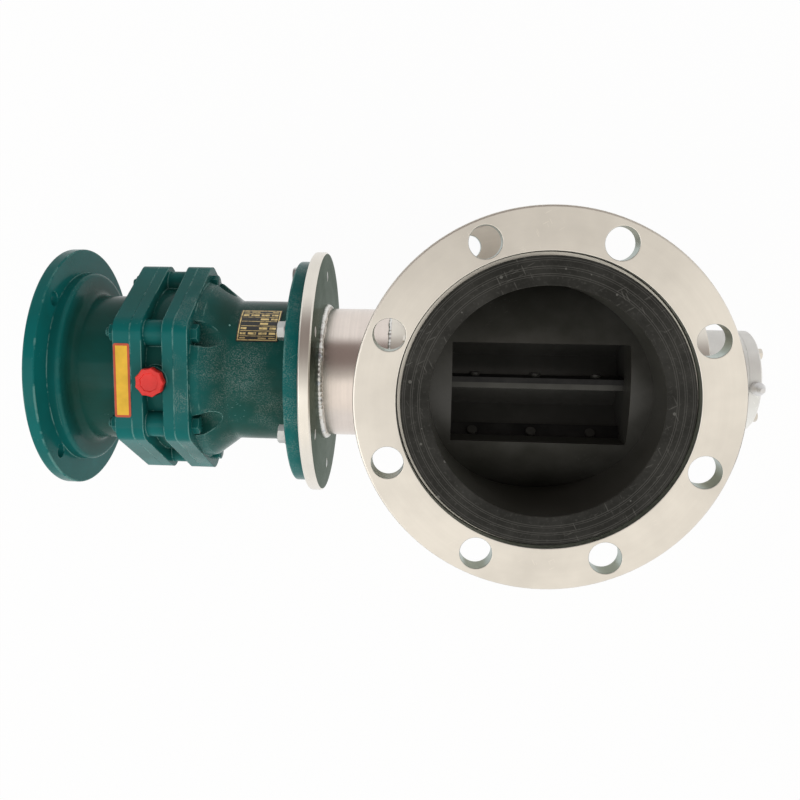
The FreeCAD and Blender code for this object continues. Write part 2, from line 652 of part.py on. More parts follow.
def make_port(name, wall):
    """The product port right through the barrel, with a wall of lining left off all round."""
    return block(name, (f"at.port_long + 2 * {wall}", f"dim.port_wide + 2 * {wall}", "dim.face_to_face"),
                 (f"-at.port_long / 2 - {wall}", f"-dim.port_wide / 2 - {wall}", "0"))


def saddle(name):
    """The barrel's full outside, which necks and linings are cut to."""
    return rod(name, "at.barrel_dia / 2", "2 * at.barrel_half", "-at.barrel_half")


def make_neck(node, upper):
    """One neck: a pipe from the flange's socket to the barrel, cut to sit on it."""
    foot = "at.axis_high" if upper else "dim.socket_deep"
    high = "dim.face_to_face / 2 - dim.socket_deep"
    pipe = cut(node + "_pipe", post(node + "_outside", "at.neck_dia / 2", high, foot),
               post(node + "_inside", "at.neck_dia / 2 - dim.neck_wall", high, foot))
    keep(node, cut(node, pipe, saddle(node + "_saddle")))


def make_neck_lining(node, upper):
    """Collar and sleeve of the lining in one neck."""
    half = "dim.face_to_face / 2"
    foot = "at.axis_high" if upper else "0"
    collar_foot = "dim.face_to_face - dim.socket_deep" if upper else "0"
    full = fuse(node + "_full", post(node + "_sleeve", "at.neck_dia / 2 - dim.neck_wall", half, foot),
                post(node + "_collar", "at.collar_dia / 2", "dim.socket_deep", collar_foot))
    pipe = cut(node + "_pipe", full, post(node + "_way", "at.throat_dia / 2", half, foot))
    keep(node, cut(node, pipe, saddle(node + "_saddle")))


def make_port_linings():
    """Lining over the barrel inside each neck, with the lip round the edge of the port."""
    reach = "at.barrel_dia / 2 + dim.floor_thick"
    way = post("floor_way", "at.throat_dia / 2", reach, "at.axis_high")
    limit = rod("floor_outside", reach, "2 * at.barrel_half", "-at.barrel_half")
    floor = cut("floor_skin", doc_common("floor_round", way, limit), saddle("floor_saddle"))
    lip = block("lip_block", ("at.port_long + 2 * dim.port_lip", "dim.port_wide + 2 * dim.port_lip", reach),
                ("-at.port_long / 2 - dim.port_lip", "-dim.port_wide / 2 - dim.port_lip", "at.axis_high"))
    bore = rod("lip_inside", "at.barrel_bore / 2", "2 * at.barrel_half", "-at.barrel_half")
    edge = cut("lip_skin", doc_common("lip_round", lip, limit), bore)
    whole = cut("port_lining", fuse("floor_and_lip", floor, edge), make_port("floor_port", "0"))
    doc.recompute()
    group("port_linings", round_axis(whole.Shape, 2))


def doc_common(name, base, tool):
    item = doc.addObject("Part::Common", name)
    item.Base = base
    item.Tool = tool
    return item


def make_barrel_lining():
    """The lining sleeve that the rotor turns in, with both ports cut through it."""
    start = "-(at.cover_inner)"
    tube = thin_ring("barrel_lining_tube", "at.barrel_bore / 2", "dim.rotor_dia / 2 + dim.rotor_gap",
                     "2 * at.cover_inner", start)
    keep("barrel_liner", cut("barrel_liner", tube, make_port("lining_port", "0")))


def make_cover(node, side, boss_dia, boss_long):
    """An end cover: bolted rim, spigot in the barrel, and a boss with seal and bearing seats."""
    body = new_body(node)
    face, inner = "at.cover_face", "at.cover_inner"
    rim, spigot = "at.barrel_dia / 2", "at.barrel_bore / 2"
    shaft = "dim.shaft_dia / 2 + dim.shaft_gap"
    seal = "dim.seal_dia / 2"
    seat = "dim.big_bearing_dia / 2"
    end = f"{face} + {boss_long}"
    outline = [(inner, shaft), (inner, spigot), ("at.cover_seat", spigot), ("at.cover_seat", rim),
               (face, rim), (face, f"{boss_dia} / 2")]
    if side < 0:
        outline += [(end, f"{boss_dia} / 2"), (end, seat), (f"{end} - dim.big_bearing_wide", seat),
                    (f"{end} - dim.big_bearing_wide", seal)]
    else:
        outline += [(face, seal)]
    outline += [(f"{inner} + dim.seal_ledge", seal), (f"{inner} + dim.seal_ledge", shaft)]
    if side > 0:
        outline.remove((face, f"{boss_dia} / 2"))
    turn(body, [(f"{side} * ({along})", up) for along, up in outline])
    start = "at.cover_seat" if side > 0 else f"-{face}"
    holes(body, "YZ_Plane", start, "dim.cover_thick", "dim.cover_bolt_dia / 2 + dim.bolt_clearance",
          "at.cover_bolt_circle", "dim.cover_bolts", "90 + 180 / dim.cover_bolts")
    return keep(node, body)


def make_stub():
    """The plain tube between the drive end cover and the drive plate."""
    outer = "dim.stub_dia / 2"
    keep("connecting_stub", thin_ring("connecting_stub", outer, f"{outer} - dim.stub_wall",
                                      "dim.stub_long", "-(at.plate_reach)"))


def weld_bead(name, along, radius, side, leg="dim.weld_leg", upright=False):
    """A fillet bead between a tube of this radius and a face at this station, on one side of it."""
    body = new_body(name, "0" if upright else "at.axis_high")
    corners = [(along, radius), (f"{along} + {side} * {leg}", radius),
               (f"{along} + {side} * {leg} * dim.weld_bulge", f"{radius} + {leg} * dim.weld_bulge"),
               (along, f"{radius} + {leg}")]
    if upright:
        corners = [(up, along_z) for along_z, up in corners]
    turn(body, corners, upright=upright)
    return body.Shape


def make_welds():
    """Fillet beads of the drive stub, the far bracket and the two pipe flanges."""
    stub, neck = "dim.stub_dia / 2", "at.neck_dia / 2"
    boss_leg = "(dim.hub_boss_dia - dim.stub_dia) / 2"
    group("weld_beads", [
        weld_bead("plate_bead", "-at.plate_reach", stub, 1),
        weld_bead("boss_bead", "-(at.boss_end)", stub, -1, boss_leg),
        weld_bead("cover_bead", "at.cover_face", stub, 1),
        weld_bead("bracket_bead", "at.far_plate_in", stub, -1),
        weld_bead("outlet_bead", "dim.flange_thick", neck, 1, upright=True),
        weld_bead("inlet_bead", "dim.face_to_face - dim.flange_thick", neck, -1, upright=True)])


def make_gaskets():
    """Flat ring gaskets between the barrel ends and the covers."""
    body = new_body("cover_gasket")
    seat, inner, outer = "-(at.cover_seat)", "at.barrel_bore / 2", "at.barrel_dia / 2"
    turn(body, [(seat, inner), (seat, outer), ("-at.barrel_half", outer), ("-at.barrel_half", inner)])
    holes(body, "YZ_Plane", seat, "dim.gasket_thick", "dim.cover_bolt_dia / 2 + dim.bolt_clearance",
          "at.cover_bolt_circle", "dim.cover_bolts", "90 + 180 / dim.cover_bolts")
    group("end_cover_gaskets", [body.Shape, other_end(body.Shape)])


def other_end(shape):
    """A copy of a shape for the other end of the barrel."""
    copy = shape.copy()
    copy.rotate(Vector(0, 0, value("at.axis_high")), Vector(0, 0, 1), 180)
    return copy


def make_cover_bolts():
    """Hexagon bolts that hold both end covers."""
    bolt = hex_bolt("cover_bolt", "dim.cover_bolt_across", "dim.cover_bolt_head", "dim.cover_bolt_dia",
                    "dim.cover_bolt_long", "-(at.cover_face)", "at.cover_bolt_circle / 2")
    other = other_end(bolt)
    first = 180 / value("dim.cover_bolts")
    count = value("dim.cover_bolts")
    group("end_cover_bolts", round_axis(bolt, count, first) + round_axis(other, count, first))


def make_plate():
    """The drive plate: a round plate with a seat for the reducer's spigot and tapped holes."""
    body = new_body("mounting_plate")
    front, back = "-at.plate_reach", "-(at.plate_back)"
    outer, edge = "at.plate_dia / 2", "dim.plate_edge"
    bore = "dim.stub_dia / 2 - dim.stub_wall - dim.plate_bore_step"
    seat = "dim.spigot_dia / 2"
    turn(body, [(back, seat), (back, f"{outer} - {edge}"), (f"{back} + {edge}", outer),
                (f"{front} - {edge}", outer), (front, f"{outer} - {edge}"), (front, bore),
                (f"{back} + dim.spigot_deep", bore), (f"{back} + dim.spigot_deep", seat)])
    holes(body, "YZ_Plane", back, "dim.plate_thick", "dim.drive_bolt_dia / 2", "at.plate_bolt_circle",
          "dim.plate_bolts", "0")
    keep("mounting_plate", body)


def make_far_end():
    """Tube, bearing plate, housing, cap, screws and grease nipple at the free end."""
    outer, inner = "dim.stub_dia / 2", "dim.stub_dia / 2 - dim.stub_wall"
    start, plate_in, plate_out = "at.cover_face", "at.far_plate_in", "at.far_plate_reach"
    journal = "dim.far_bearing_dia / 2 - dim.far_housing_ledge"
    bracket = new_body("far_bearing_bracket")
    turn(bracket, [(start, inner), (start, outer), (plate_in, outer), (plate_in, "dim.far_plate_dia / 2"),
                   (plate_out, "dim.far_plate_dia / 2"), (plate_out, journal), (plate_in, journal),
                   (plate_in, inner)])
    keep("far_bearing_bracket", bracket)

    housing = new_body("far_bearing_housing")
    seat, wall, end = "dim.far_bearing_dia / 2", "at.far_housing_dia / 2", "at.far_housing_end"
    turn(housing, [(plate_out, journal), (plate_out, wall), (end, wall), (end, seat),
                   ("at.far_bearing", seat), ("at.far_bearing", journal)])
    holes(housing, "YZ_Plane", f"{end} - dim.cap_screw_reach", "dim.cap_screw_reach",
          "dim.cap_screw_dia / 2", "at.cap_screw_circle", "dim.cap_screws", "45")
    keep("far_bearing_housing", housing)

    cap = new_body("far_bearing_cap")
    cap_end, edge = "at.far_cap_end", "dim.far_cap_edge"
    turn(cap, [(end, "0"), (end, wall), (f"{cap_end} - {edge}", wall), (cap_end, f"{wall} - {edge}"),
               (cap_end, "0")])
    holes(cap, "YZ_Plane", end, "dim.far_cap_thick", "dim.cap_screw_dia / 2 + dim.bolt_clearance",
          "at.cap_screw_circle", "dim.cap_screws", "45")
    screw = hex_bolt("cap_screw", "dim.cap_screw_across", "dim.cap_screw_head", "dim.cap_screw_dia",
                     "dim.far_cap_thick + dim.cap_screw_reach", cap_end, "at.cap_screw_circle / 2", -1)
    group("bearing_cap_screws", round_axis(screw, value("dim.cap_screws"), 45))

    reach = f"{wall} - dim.nipple_seat"
    middle = f"{end} + dim.nipple_dia / 2"
    pocket(cap, "XY_Plane", reach, "2 * dim.nipple_seat",
           lambda sketch: draw_circle(sketch, "dim.nipple_dia / 2", middle))
    pocket(cap, "XY_Plane", f"{reach} - dim.nipple_deep", "dim.nipple_deep",
           lambda sketch: draw_circle(sketch, "dim.nipple_thread / 2", middle))
    keep("far_bearing_cap", cap)
    nipple = new_body("grease_nipple", f"at.axis_high + {reach}")
    nipple.setExpression("Placement.Base.x", middle)
    thread, hexagon, high = "dim.nipple_thread / 2", "dim.nipple_dia / 2", "dim.nipple_high"
    neck, head, mouth = "dim.nipple_neck_dia / 2", "dim.nipple_head_dia / 2", "dim.nipple_mouth_dia / 2"
    body_end = "dim.nipple_body_high"
    turn(nipple, [("0", "-dim.nipple_deep"), (thread, "-dim.nipple_deep"), (thread, "0"), (hexagon, "0"),
                  (hexagon, body_end), (neck, f"{body_end} + {hexagon} - {neck}"),
                  (neck, f"{high} - 2 * {neck}"), (head, f"{high} - {head}"), (mouth, high), ("0", high)],
         upright=True)
    keep("grease_nipple", nipple)


# Rotor


def make_rotor():
    """Hub, vanes, end discs and wearing strips of the closed-end rotor."""
    half = "dim.rotor_half"
    hub = thin_ring("rotor_hub_tube", "dim.hub_dia / 2", "dim.shaft_dia / 2", f"2 * {half}", f"-{half}")
    inner_half = f"{half} - dim.disc_thick"
    count = value("dim.vane_count")
    vane = block("vane_plate", (f"2 * ({inner_half})", "dim.vane_thick",
                                "dim.rotor_dia / 2 - dim.vane_short - dim.hub_dia / 2 + dim.vane_root"),
                 (f"-({inner_half})", "-dim.vane_thick / 2",
                  "at.axis_high + dim.hub_dia / 2 - dim.vane_root"))
    strip = block("tip_plate", (f"2 * ({inner_half})", "dim.tip_thick", "dim.tip_wide"),
                  (f"-({inner_half})", "dim.vane_thick / 2",
                   "at.axis_high + dim.rotor_dia / 2 - dim.tip_wide - dim.running_fit"))
    doc.recompute()
    radius, head_radius = value("dim.tip_screw_dia / 2"), value("dim.tip_screw_head / 2")
    through = value("dim.vane_thick + dim.tip_thick")
    drills, screws = [], []
    for number in range(int(value("dim.tip_screws"))):
        share = (number + 0.5) / value("dim.tip_screws") - 0.5
        spot = Vector(2 * share * value(inner_half), value("-dim.vane_thick / 2"),
                      value("at.axis_high + dim.rotor_dia / 2 - dim.tip_screw_in"))
        shank = Part.makeCylinder(radius, through, spot, Vector(0, 1, 0))
        head = Part.makeCylinder(head_radius, radius, spot + Vector(0, through, 0), Vector(0, 1, 0))
        drills.append(shank)
        screws.append(shank.fuse(head).removeSplitter())
    first = -value("dim.vane_turn")
    hub_and_vanes = hub.Shape.fuse(round_axis(vane.Shape.cut(drills), count, first)).removeSplitter()
    item = doc.addObject("Part::Feature", "rotor_vanes")
    item.Shape = hub_and_vanes
    keep("rotor_vanes", item)
    group("vane_tip_strips", round_axis(strip.Shape.cut(drills), count, first))
    turned = [copy for screw in screws for copy in round_axis(screw, count, first)]
    group("tip_strip_screws", turned)
    discs = []
    for name, along in (("near_disc", f"-{half}"), ("far_disc", f"{half} - dim.disc_thick")):
        disc = thin_ring(name, "dim.rotor_dia / 2", "dim.hub_dia / 2", "dim.disc_thick", along)
        discs.append(disc.Shape)
    group("rotor_end_discs", discs)


def make_rotor_shaft():
    """The stepped shaft of the rotor, with a keyed end in the coupling."""
    body = new_body("rotor_shaft")
    tip = "-(at.coupling_mid - dim.coupling_gap / 2)"
    step = "-(at.boss_end + dim.shaft_past)"
    far_step, groove = "at.far_bearing", "at.far_bearing + dim.far_bearing_wide"
    groove_end = f"{groove} + dim.retainer_wide"
    far_end = f"{groove_end} + dim.retainer_past"
    big, small, journal = "dim.shaft_dia / 2", "dim.shaft_end_dia / 2", "dim.far_journal_dia / 2"
    floor, edge = f"{journal} - dim.retainer_deep", "dim.shaft_edge"
    turn(body, [(tip, "0"), (tip, f"{small} - {edge}"), (f"{tip} + {edge}", small), (step, small),
                (step, big), (far_step, big), (far_step, journal), (groove, journal), (groove, floor),
                (groove_end, floor), (groove_end, journal), (f"{far_end} - {edge}", journal),
                (far_end, f"{journal} - {edge}"), (far_end, "0")])
    key_seat(body, f"{tip} + dim.key_set")
    keep("rotor_shaft", body)
    keep("shaft_retaining_ring", thin_ring("shaft_retaining_ring", f"{journal} + dim.retainer_high", floor,
                                           "dim.retainer_wide", groove))


def key_seat(body, along):
    """A keyway in the top of a coupling shaft end."""
    def slot(sketch):
        draw_outline(sketch, [(along, "dim.key_wide / 2"), (f"{along} + dim.key_long", "dim.key_wide / 2"),
                              (f"{along} + dim.key_long", "-dim.key_wide / 2"),
                              (along, "-dim.key_wide / 2")])
    pocket(body, "XY_Plane", "dim.shaft_end_dia / 2 - dim.key_high * dim.key_sunk", "dim.key_high", slot)


def make_coupling():
    """A solid sleeve coupling and its two keys."""
    start = "-(at.coupling_end)"
    outer, bore = "dim.coupling_dia / 2", "dim.shaft_end_dia / 2"
    sleeve = thin_ring("coupling_tube", outer, bore, "at.coupling_long", start)
    low = "at.axis_high + dim.shaft_end_dia / 2 - dim.key_high * dim.key_sunk"
    keyway = block("coupling_keyway", ("at.coupling_long", "dim.key_wide", "dim.key_high"),
                   (start, "-dim.key_wide / 2", low))
    keep("shaft_coupling", cut("shaft_coupling", sleeve, keyway))
    keys = []
    middle = "-(at.coupling_mid)"
    half_gap = "dim.coupling_gap / 2 + dim.key_set"
    for name, along in (("drive_key", f"{middle} - ({half_gap}) - dim.key_long"),
                        ("rotor_key", f"{middle} + {half_gap}")):
        key = block(name, ("dim.key_long", "dim.key_wide", "dim.key_high"),
                    (along, "-dim.key_wide / 2", low))
        doc.recompute()
        keys.append(key.Shape)
    group("coupling_keys", keys)


def make_rotor_bearings():
    """Bearings of the rotor shaft."""
    drive = bearing("dim.shaft_dia", "dim.big_bearing_dia", "dim.big_bearing_wide",
                    "-(at.boss_end)")
    far = bearing("dim.far_journal_dia", "dim.far_bearing_dia", "dim.far_bearing_wide",
                  "at.far_bearing")
    group("rotor_bearing_outer_rings", [drive[0], far[0]])
    group("rotor_bearing_inner_rings", [drive[1], far[1]])
    group("rotor_bearing_rollers", drive[2] + far[2])


# Reducer


def make_output_housing():
    """Output flange, bearing barrel and case rim of the reducer, cast in one."""
    body = new_body("output_housing")
    face, back = "-(at.plate_back)", "-(at.flange_back)"
    neck, rim = "-(at.neck_end)", "-(at.rim_front)"
    ring = "-(at.ring_front)"
    barrel, shoulder = "at.output_neck_dia / 2", "at.dome_dia / 2"
    spigot = f"{face} + dim.spigot_deep"
    seat, shaft, seal = "dim.big_bearing_dia / 2", "dim.shaft_dia / 2 + dim.shaft_gap", "dim.seal_dia / 2"
    inner_seat = "-(at.inner_bearing)"
    outer_seat = "-(at.outer_bearing)"
    cavity = "dim.carrier_dia / 2 + dim.carrier_room"
    ledge = f"{seat} - dim.bearing_ledge"
    step = f"{shoulder} + dim.dome_draft"
    turn(body, [
        (spigot, seal), (spigot, "dim.spigot_dia / 2"), (face, "dim.spigot_dia / 2"),
        (face, "at.output_flange_dia / 2"), (back, "at.output_flange_dia / 2"), (back, barrel),
        (neck, barrel), (f"{rim} + dim.step_long", shoulder), (rim, step), (ring, step), (ring, cavity),
        (f"{inner_seat} - dim.big_bearing_wide", cavity), (f"{inner_seat} - dim.big_bearing_wide", seat),
        (inner_seat, seat), (inner_seat, ledge), (f"{outer_seat} - dim.big_bearing_wide", ledge),
        (f"{outer_seat} - dim.big_bearing_wide", seat), (outer_seat, seat), (outer_seat, shaft),
        (f"{spigot} - dim.seal_wide", shaft), (f"{spigot} - dim.seal_wide", seal)])
    dress(body, "Fillet", "dim.cast_round", any_rim(round_edge(barrel, back), round_edge(barrel, neck)))
    dress(body, "Fillet", "dim.cast_edge", round_edge("at.output_flange_dia / 2", back))
    pad(body, "YZ_Plane", ring, "dim.case_rim", draw_case_outline)
    pocket(body, "YZ_Plane", ring, "dim.case_rim", lambda sketch: draw_circle(sketch, cavity))
    holes(body, "YZ_Plane", ring, "dim.case_rim", "dim.drive_bolt_dia / 2 + dim.bolt_clearance",
          "at.case_bolt_circle", "dim.case_bolts", "0")
    holes(body, "YZ_Plane", rim, "dim.dome_long + dim.step_long", "dim.ring_boss",
          "at.case_bolt_circle", "dim.case_bolts", "0")
    holes(body, "YZ_Plane", back, "dim.output_flange_thick", "dim.drive_bolt_dia / 2 + dim.bolt_clearance",
          "at.plate_bolt_circle", "dim.plate_bolts", "0")
    keep("output_housing", body)


def make_pin_ring():
    """The pin ring: two bolted rims, the drum with bosses between, and the pin seats inside."""
    body = new_body("pin_gear_ring")
    front, back = "-(at.ring_front)", "-(at.ring_back)"
    bore, drum = "dim.pin_circle / 2", "at.ring_drum_dia / 2"
    pad(body, "YZ_Plane", back, "dim.ring_rim", draw_case_outline)
    turn(body, [(back, bore), (back, drum), (front, drum), (front, bore)])
    pad(body, "YZ_Plane", f"{front} - dim.ring_rim", "dim.ring_rim", draw_case_outline)

    def one_boss(sketch):
        draw_circle(sketch, "dim.ring_boss", "at.case_bolt_circle / 2", "0")
    boss = pad(body, "YZ_Plane", back, "dim.ring_wide", one_boss)
    pattern(body, boss, "X_Axis", "dim.case_bolts")
    middle = "-(at.plug_along)"
    reach = "at.plug_seat"
    for start in ("0", f"-{reach}"):
        pad(body, "XY_Plane", start, reach, lambda sketch: draw_circle(sketch, "dim.plug_boss", middle))
    pocket(body, "XY_Plane", f"-{reach}", f"2 * {reach}",
           lambda sketch: draw_circle(sketch, "dim.plug_thread / 2", middle))
    pocket(body, "YZ_Plane", back, "dim.ring_wide", lambda sketch: draw_circle(sketch, bore))
    holes(body, "YZ_Plane", back, "dim.ring_wide", "dim.ring_pin_dia / 2 + dim.running_fit",
          "dim.pin_circle", "dim.ring_pins")
    holes(body, "YZ_Plane", back, "dim.ring_wide", "dim.drive_bolt_dia / 2 + dim.bolt_clearance",
          "at.case_bolt_circle", "dim.case_bolts")
    keep("pin_gear_ring", body)


def make_ring_pins():
    pin = rod("ring_pin", "dim.ring_pin_dia / 2", "dim.ring_wide - 2 * dim.end_play",
              "-(at.ring_back - dim.end_play)",
              "at.axis_high + dim.pin_circle / 2")
    doc.recompute()
    group("ring_pins", round_axis(pin.Shape, value("dim.ring_pins"), 90))


def make_adapter():
    """Motor adapter: case rim, neck, bell and motor flange, cast in one."""
    body = new_body("motor_flange_adapter")
    ring, rim = "-(at.ring_back)", "-(at.cover_rim_back)"
    bell, front, face = "-(at.bell_start)", "-(at.motor_front)", "-(at.motor_face)"
    neck, shoulder = "dim.adapter_neck_dia / 2", "at.bell_dia / 2"
    flange, recess = "at.motor_flange_dia / 2", "dim.motor_spigot_dia / 2"
    seat, seal = "dim.input_bearing_dia / 2", "dim.socket_end_dia / 2 + dim.input_seal_high"
    seat_end, seal_start = "-(at.input_seat_end)", "-(at.input_seat_end) - dim.input_seal_gap"
    boss = "-(at.input_seal_end) - dim.input_seal_boss"
    lip = "dim.socket_end_dia / 2 + dim.shaft_gap"
    cavity = f"{neck} - dim.adapter_wall"
    floor = f"{face} + dim.motor_spigot_deep"
    turn(body, [
        (ring, seat), (ring, neck), (bell, neck), (bell, shoulder), (front, shoulder), (front, flange),
        (face, flange), (face, recess), (floor, recess), (floor, f"{recess} - dim.motor_mouth"),
        (bell, cavity), (boss, cavity), (boss, seal), (seal_start, seal), (seal_start, lip),
        (seat_end, lip), (seat_end, seat)])
    dress(body, "Fillet", "dim.bell_round", round_edge(neck, bell))
    dress(body, "Fillet", "dim.bell_edge", round_edge(shoulder, bell))
    dress(body, "Fillet", "dim.cast_edge",
          any_rim(round_edge(flange, front), round_edge(flange, face)))
    pad(body, "YZ_Plane", rim, "dim.cover_rim", draw_case_outline)
    pocket(body, "YZ_Plane", rim, "dim.cover_rim", lambda sketch: draw_circle(sketch, lip))
    pocket(body, "YZ_Plane", seat_end, "dim.input_bearing_wide", lambda sketch: draw_circle(sketch, seat))
    holes(body, "YZ_Plane", rim, "dim.cover_rim", "dim.drive_bolt_dia / 2 + dim.bolt_clearance",
          "at.case_bolt_circle", "dim.case_bolts")
    holes(body, "YZ_Plane", face, "dim.motor_flange_thick", "dim.motor_hole / 2", "at.motor_circle",
          "dim.motor_bolts", "45")
    keep("motor_flange_adapter", body)


def make_reducer_bolts():
    """Fixing bolts with washers, and the case bolts with nuts."""
    head, across, dia = "dim.drive_bolt_head", "dim.drive_bolt_across", "dim.drive_bolt_dia"
    washer_at, reach = "-(at.flange_back + dim.washer_thick)", "at.plate_bolt_circle / 2"
    bolt = hex_bolt("plate_bolt", across, head, dia,
                    "dim.output_flange_thick + dim.plate_thick + dim.washer_thick", washer_at, reach)
    count = value("dim.plate_bolts")
    first = 180 / count
    group("plate_bolts", round_axis(bolt, count, first))
    height = f"at.axis_high + {reach}"
    washer = cut("plate_washer",
                 rod("washer_outside", "dim.washer_dia / 2", "dim.washer_thick", washer_at, height),
                 rod("washer_bore", f"{dia} / 2", "dim.washer_thick", washer_at, height))
    doc.recompute()
    group("plate_bolt_washers", round_axis(washer.Shape, count, first))

    count, reach = value("dim.case_bolts"), "at.case_bolt_circle / 2"
    first = 180 / count
    nut_high = "dim.case_nut_high"
    shank = f"dim.case_rim + dim.ring_wide + dim.cover_rim + {nut_high} + dim.case_bolt_past"
    case = hex_bolt("case_bolt", across, head, dia, shank, "-(at.rim_front)", reach, -1)
    group("case_bolts", round_axis(case, count, first))
    nut_from = f"-(at.cover_rim_back + {nut_high})"
    nut = cut("case_nut", hex_prism("nut_outside", across, nut_high, nut_from, reach),
              rod("nut_bore", f"{dia} / 2", nut_high, nut_from, f"at.axis_high + {reach}"))
    doc.recompute()
    group("case_nuts", round_axis(nut.Shape, count, first))


def make_output_shaft():
    """Reducer shaft with the carrier flange that holds the output pins."""
    body = new_body("output_shaft")
    back, front = "-(at.carrier_back)", "-(at.carrier_front)"
    step = "-(at.plate_back) + dim.spigot_deep + dim.shaft_past"
    tip = "-(at.coupling_mid + dim.coupling_gap / 2)"
    pilot, pilot_end = "dim.pilot_bearing_dia / 2", f"{back} + dim.pilot_bearing_wide"
    big, small, flange = "dim.shaft_dia / 2", "dim.shaft_end_dia / 2", "dim.carrier_dia / 2"
    collar, collar_end = f"{big} + dim.shaft_collar", "-(at.inner_bearing + dim.big_bearing_wide)"
    edge = "dim.shaft_edge"
    turn(body, [(back, pilot), (back, flange), (front, flange), (front, collar), (collar_end, collar),
                (collar_end, big), (step, big), (step, small), (f"{tip} - {edge}", small),
                (tip, f"{small} - {edge}"), (tip, "0"), (pilot_end, "0"), (pilot_end, pilot)])
    key_seat(body, f"{tip} - dim.key_set - dim.key_long")
    holes(body, "YZ_Plane", back, "dim.carrier_thick - dim.pin_set", "dim.output_pin_dia / 2",
          "dim.output_pin_circle", "dim.output_pins")
    keep("output_shaft", body)


def make_output_pins():
    """Pins pressed into the carrier, and the rollers that turn on them."""
    height = "at.axis_high + dim.output_pin_circle / 2"
    start = "-(at.ring_back - dim.pin_set)"
    count = value("dim.output_pins")
    radius, loose = "dim.output_pin_dia / 2", "dim.output_pin_dia / 2 + dim.running_fit"
    pin = rod("output_pin", radius, "at.ring_back - at.carrier_front - 2 * dim.pin_set", start, height)
    long = "at.ring_back - dim.pin_set - at.carrier_back - 2 * dim.end_play"
    roller = cut("output_roller", rod("roller_outside", "dim.output_roller_dia / 2", long, start, height),
                 rod("roller_bore", loose, long, start, height))
    doc.recompute()
    group("output_pins", round_axis(pin.Shape, count, 90))
    group("output_pin_rollers", round_axis(roller.Shape, count, 90))


def lobe_point(angle, turned, inset):
    """A point of a lobed disc's edge, about the origin of the YZ plane.

    A ring pin's centre, seen from the disc, runs along a trochoid; the disc's edge lies one
    pin radius and the running gap inside it.
    """
    pins = int(value("dim.ring_pins"))
    circle, throw = value("dim.pin_circle / 2"), value("dim.throw")
    slope = Vector(circle * math.cos(angle) - throw * pins * math.cos(pins * angle),
                   circle * math.sin(angle) - throw * pins * math.sin(pins * angle), 0)
    slope.normalize()
    across = circle * math.cos(angle) - throw * math.cos(pins * angle) - inset * slope.x
    up = circle * math.sin(angle) - throw * math.sin(pins * angle) - inset * slope.y
    tilt = math.radians(turned)
    return Vector(0, across * math.cos(tilt) - up * math.sin(tilt),
                  across * math.sin(tilt) + up * math.cos(tilt))


def lobed_outline(turned):
    """The closed edge of a lobed disc: four arcs through exact points for each lobe."""
    lobes = int(value("dim.ring_pins")) - 1
    inset = value("dim.ring_pin_dia / 2 + dim.lobe_gap")
    edges = []
    step = 2 * math.pi / (8 * lobes)
    for number in range(4 * lobes):
        spots = [lobe_point((2 * number + part) * step, turned, inset) for part in (0, 1, 2)]
        edges.append(Part.Arc(*spots).toShape())
    return Part.Wire(edges)


def make_disc(node, front, side):
    """One lobed disc: side says which way its eccentric points along Y."""
    throw, wide = value("dim.throw"), value("dim.disc_wide")
    turned = 0 if side > 0 else -180 / (value("dim.ring_pins") - 1)
    solid = Part.Face(lobed_outline(turned)).extrude(Vector(wide, 0, 0))
    bore = value("dim.cam_dia / 2 + dim.cam_roller_dia + 2 * dim.running_fit")
    solid = solid.cut(Part.makeCylinder(bore, wide, Vector(), Vector(1, 0, 0)))
    hole = Part.makeCylinder(value("dim.output_roller_dia / 2 + dim.throw + dim.lobe_gap"), wide,
                             Vector(0, value("dim.output_pin_circle / 2"), 0), Vector(1, 0, 0))
    solid = solid.cut(round_axis(hole, value("dim.output_pins"), height=0))
    item = doc.addObject("Part::Feature", node)
    item.Shape = solid
    start = -value(front) - wide
    item.Placement = Placement(Vector(start, side * throw, value("at.axis_high")), Rotation())
    keep(node, item)


def make_cams():
    """The double eccentric on the input shaft, and the rollers round both lobes."""
    shapes, rollers = [], []
    for name, front, side in (("cam_a", "at.disc_a_front", 1), ("cam_b", "at.disc_b_front", -1)):
        start = f"-({front} + dim.disc_wide)"
        cam = rod(name, "dim.cam_dia / 2", "dim.disc_wide", start, sideways=f"{side} * dim.throw")
        roller = rod(name + "_roller", "dim.cam_roller_dia / 2", "dim.disc_wide - 2 * dim.end_play",
                     f"{start} + dim.end_play",
                     "at.axis_high + (dim.cam_dia + dim.cam_roller_dia + dim.running_fit) / 2")
        doc.recompute()
        shapes.append(cam)
        for copy in round_axis(roller.Shape, value("dim.cam_rollers")):
            copy.translate(Vector(0, side * value("dim.throw"), 0))
            rollers.append(copy)
    collar = rod("cam_collar", "dim.cam_collar", "dim.disc_space", "-(at.disc_a_front)")
    whole = fuse("cam_body", *shapes, collar)
    bore = rod("cam_bore", "dim.input_dia / 2", "dim.ring_wide", "-(at.ring_back)")
    key_size = ("at.cam_key_long", "dim.cam_key_wide", "dim.cam_key_high")
    key_corner = ("-(at.cam_key_end)", "-dim.cam_key_wide / 2",
                  "at.axis_high + dim.input_dia / 2 - dim.cam_key_high / 2")
    key = keep("eccentric_key", block("eccentric_key", key_size, key_corner))
    keep("eccentric_cam", cut("eccentric_cam", whole, fuse("cam_away", bore, key)))
    group("cam_rollers", rollers)


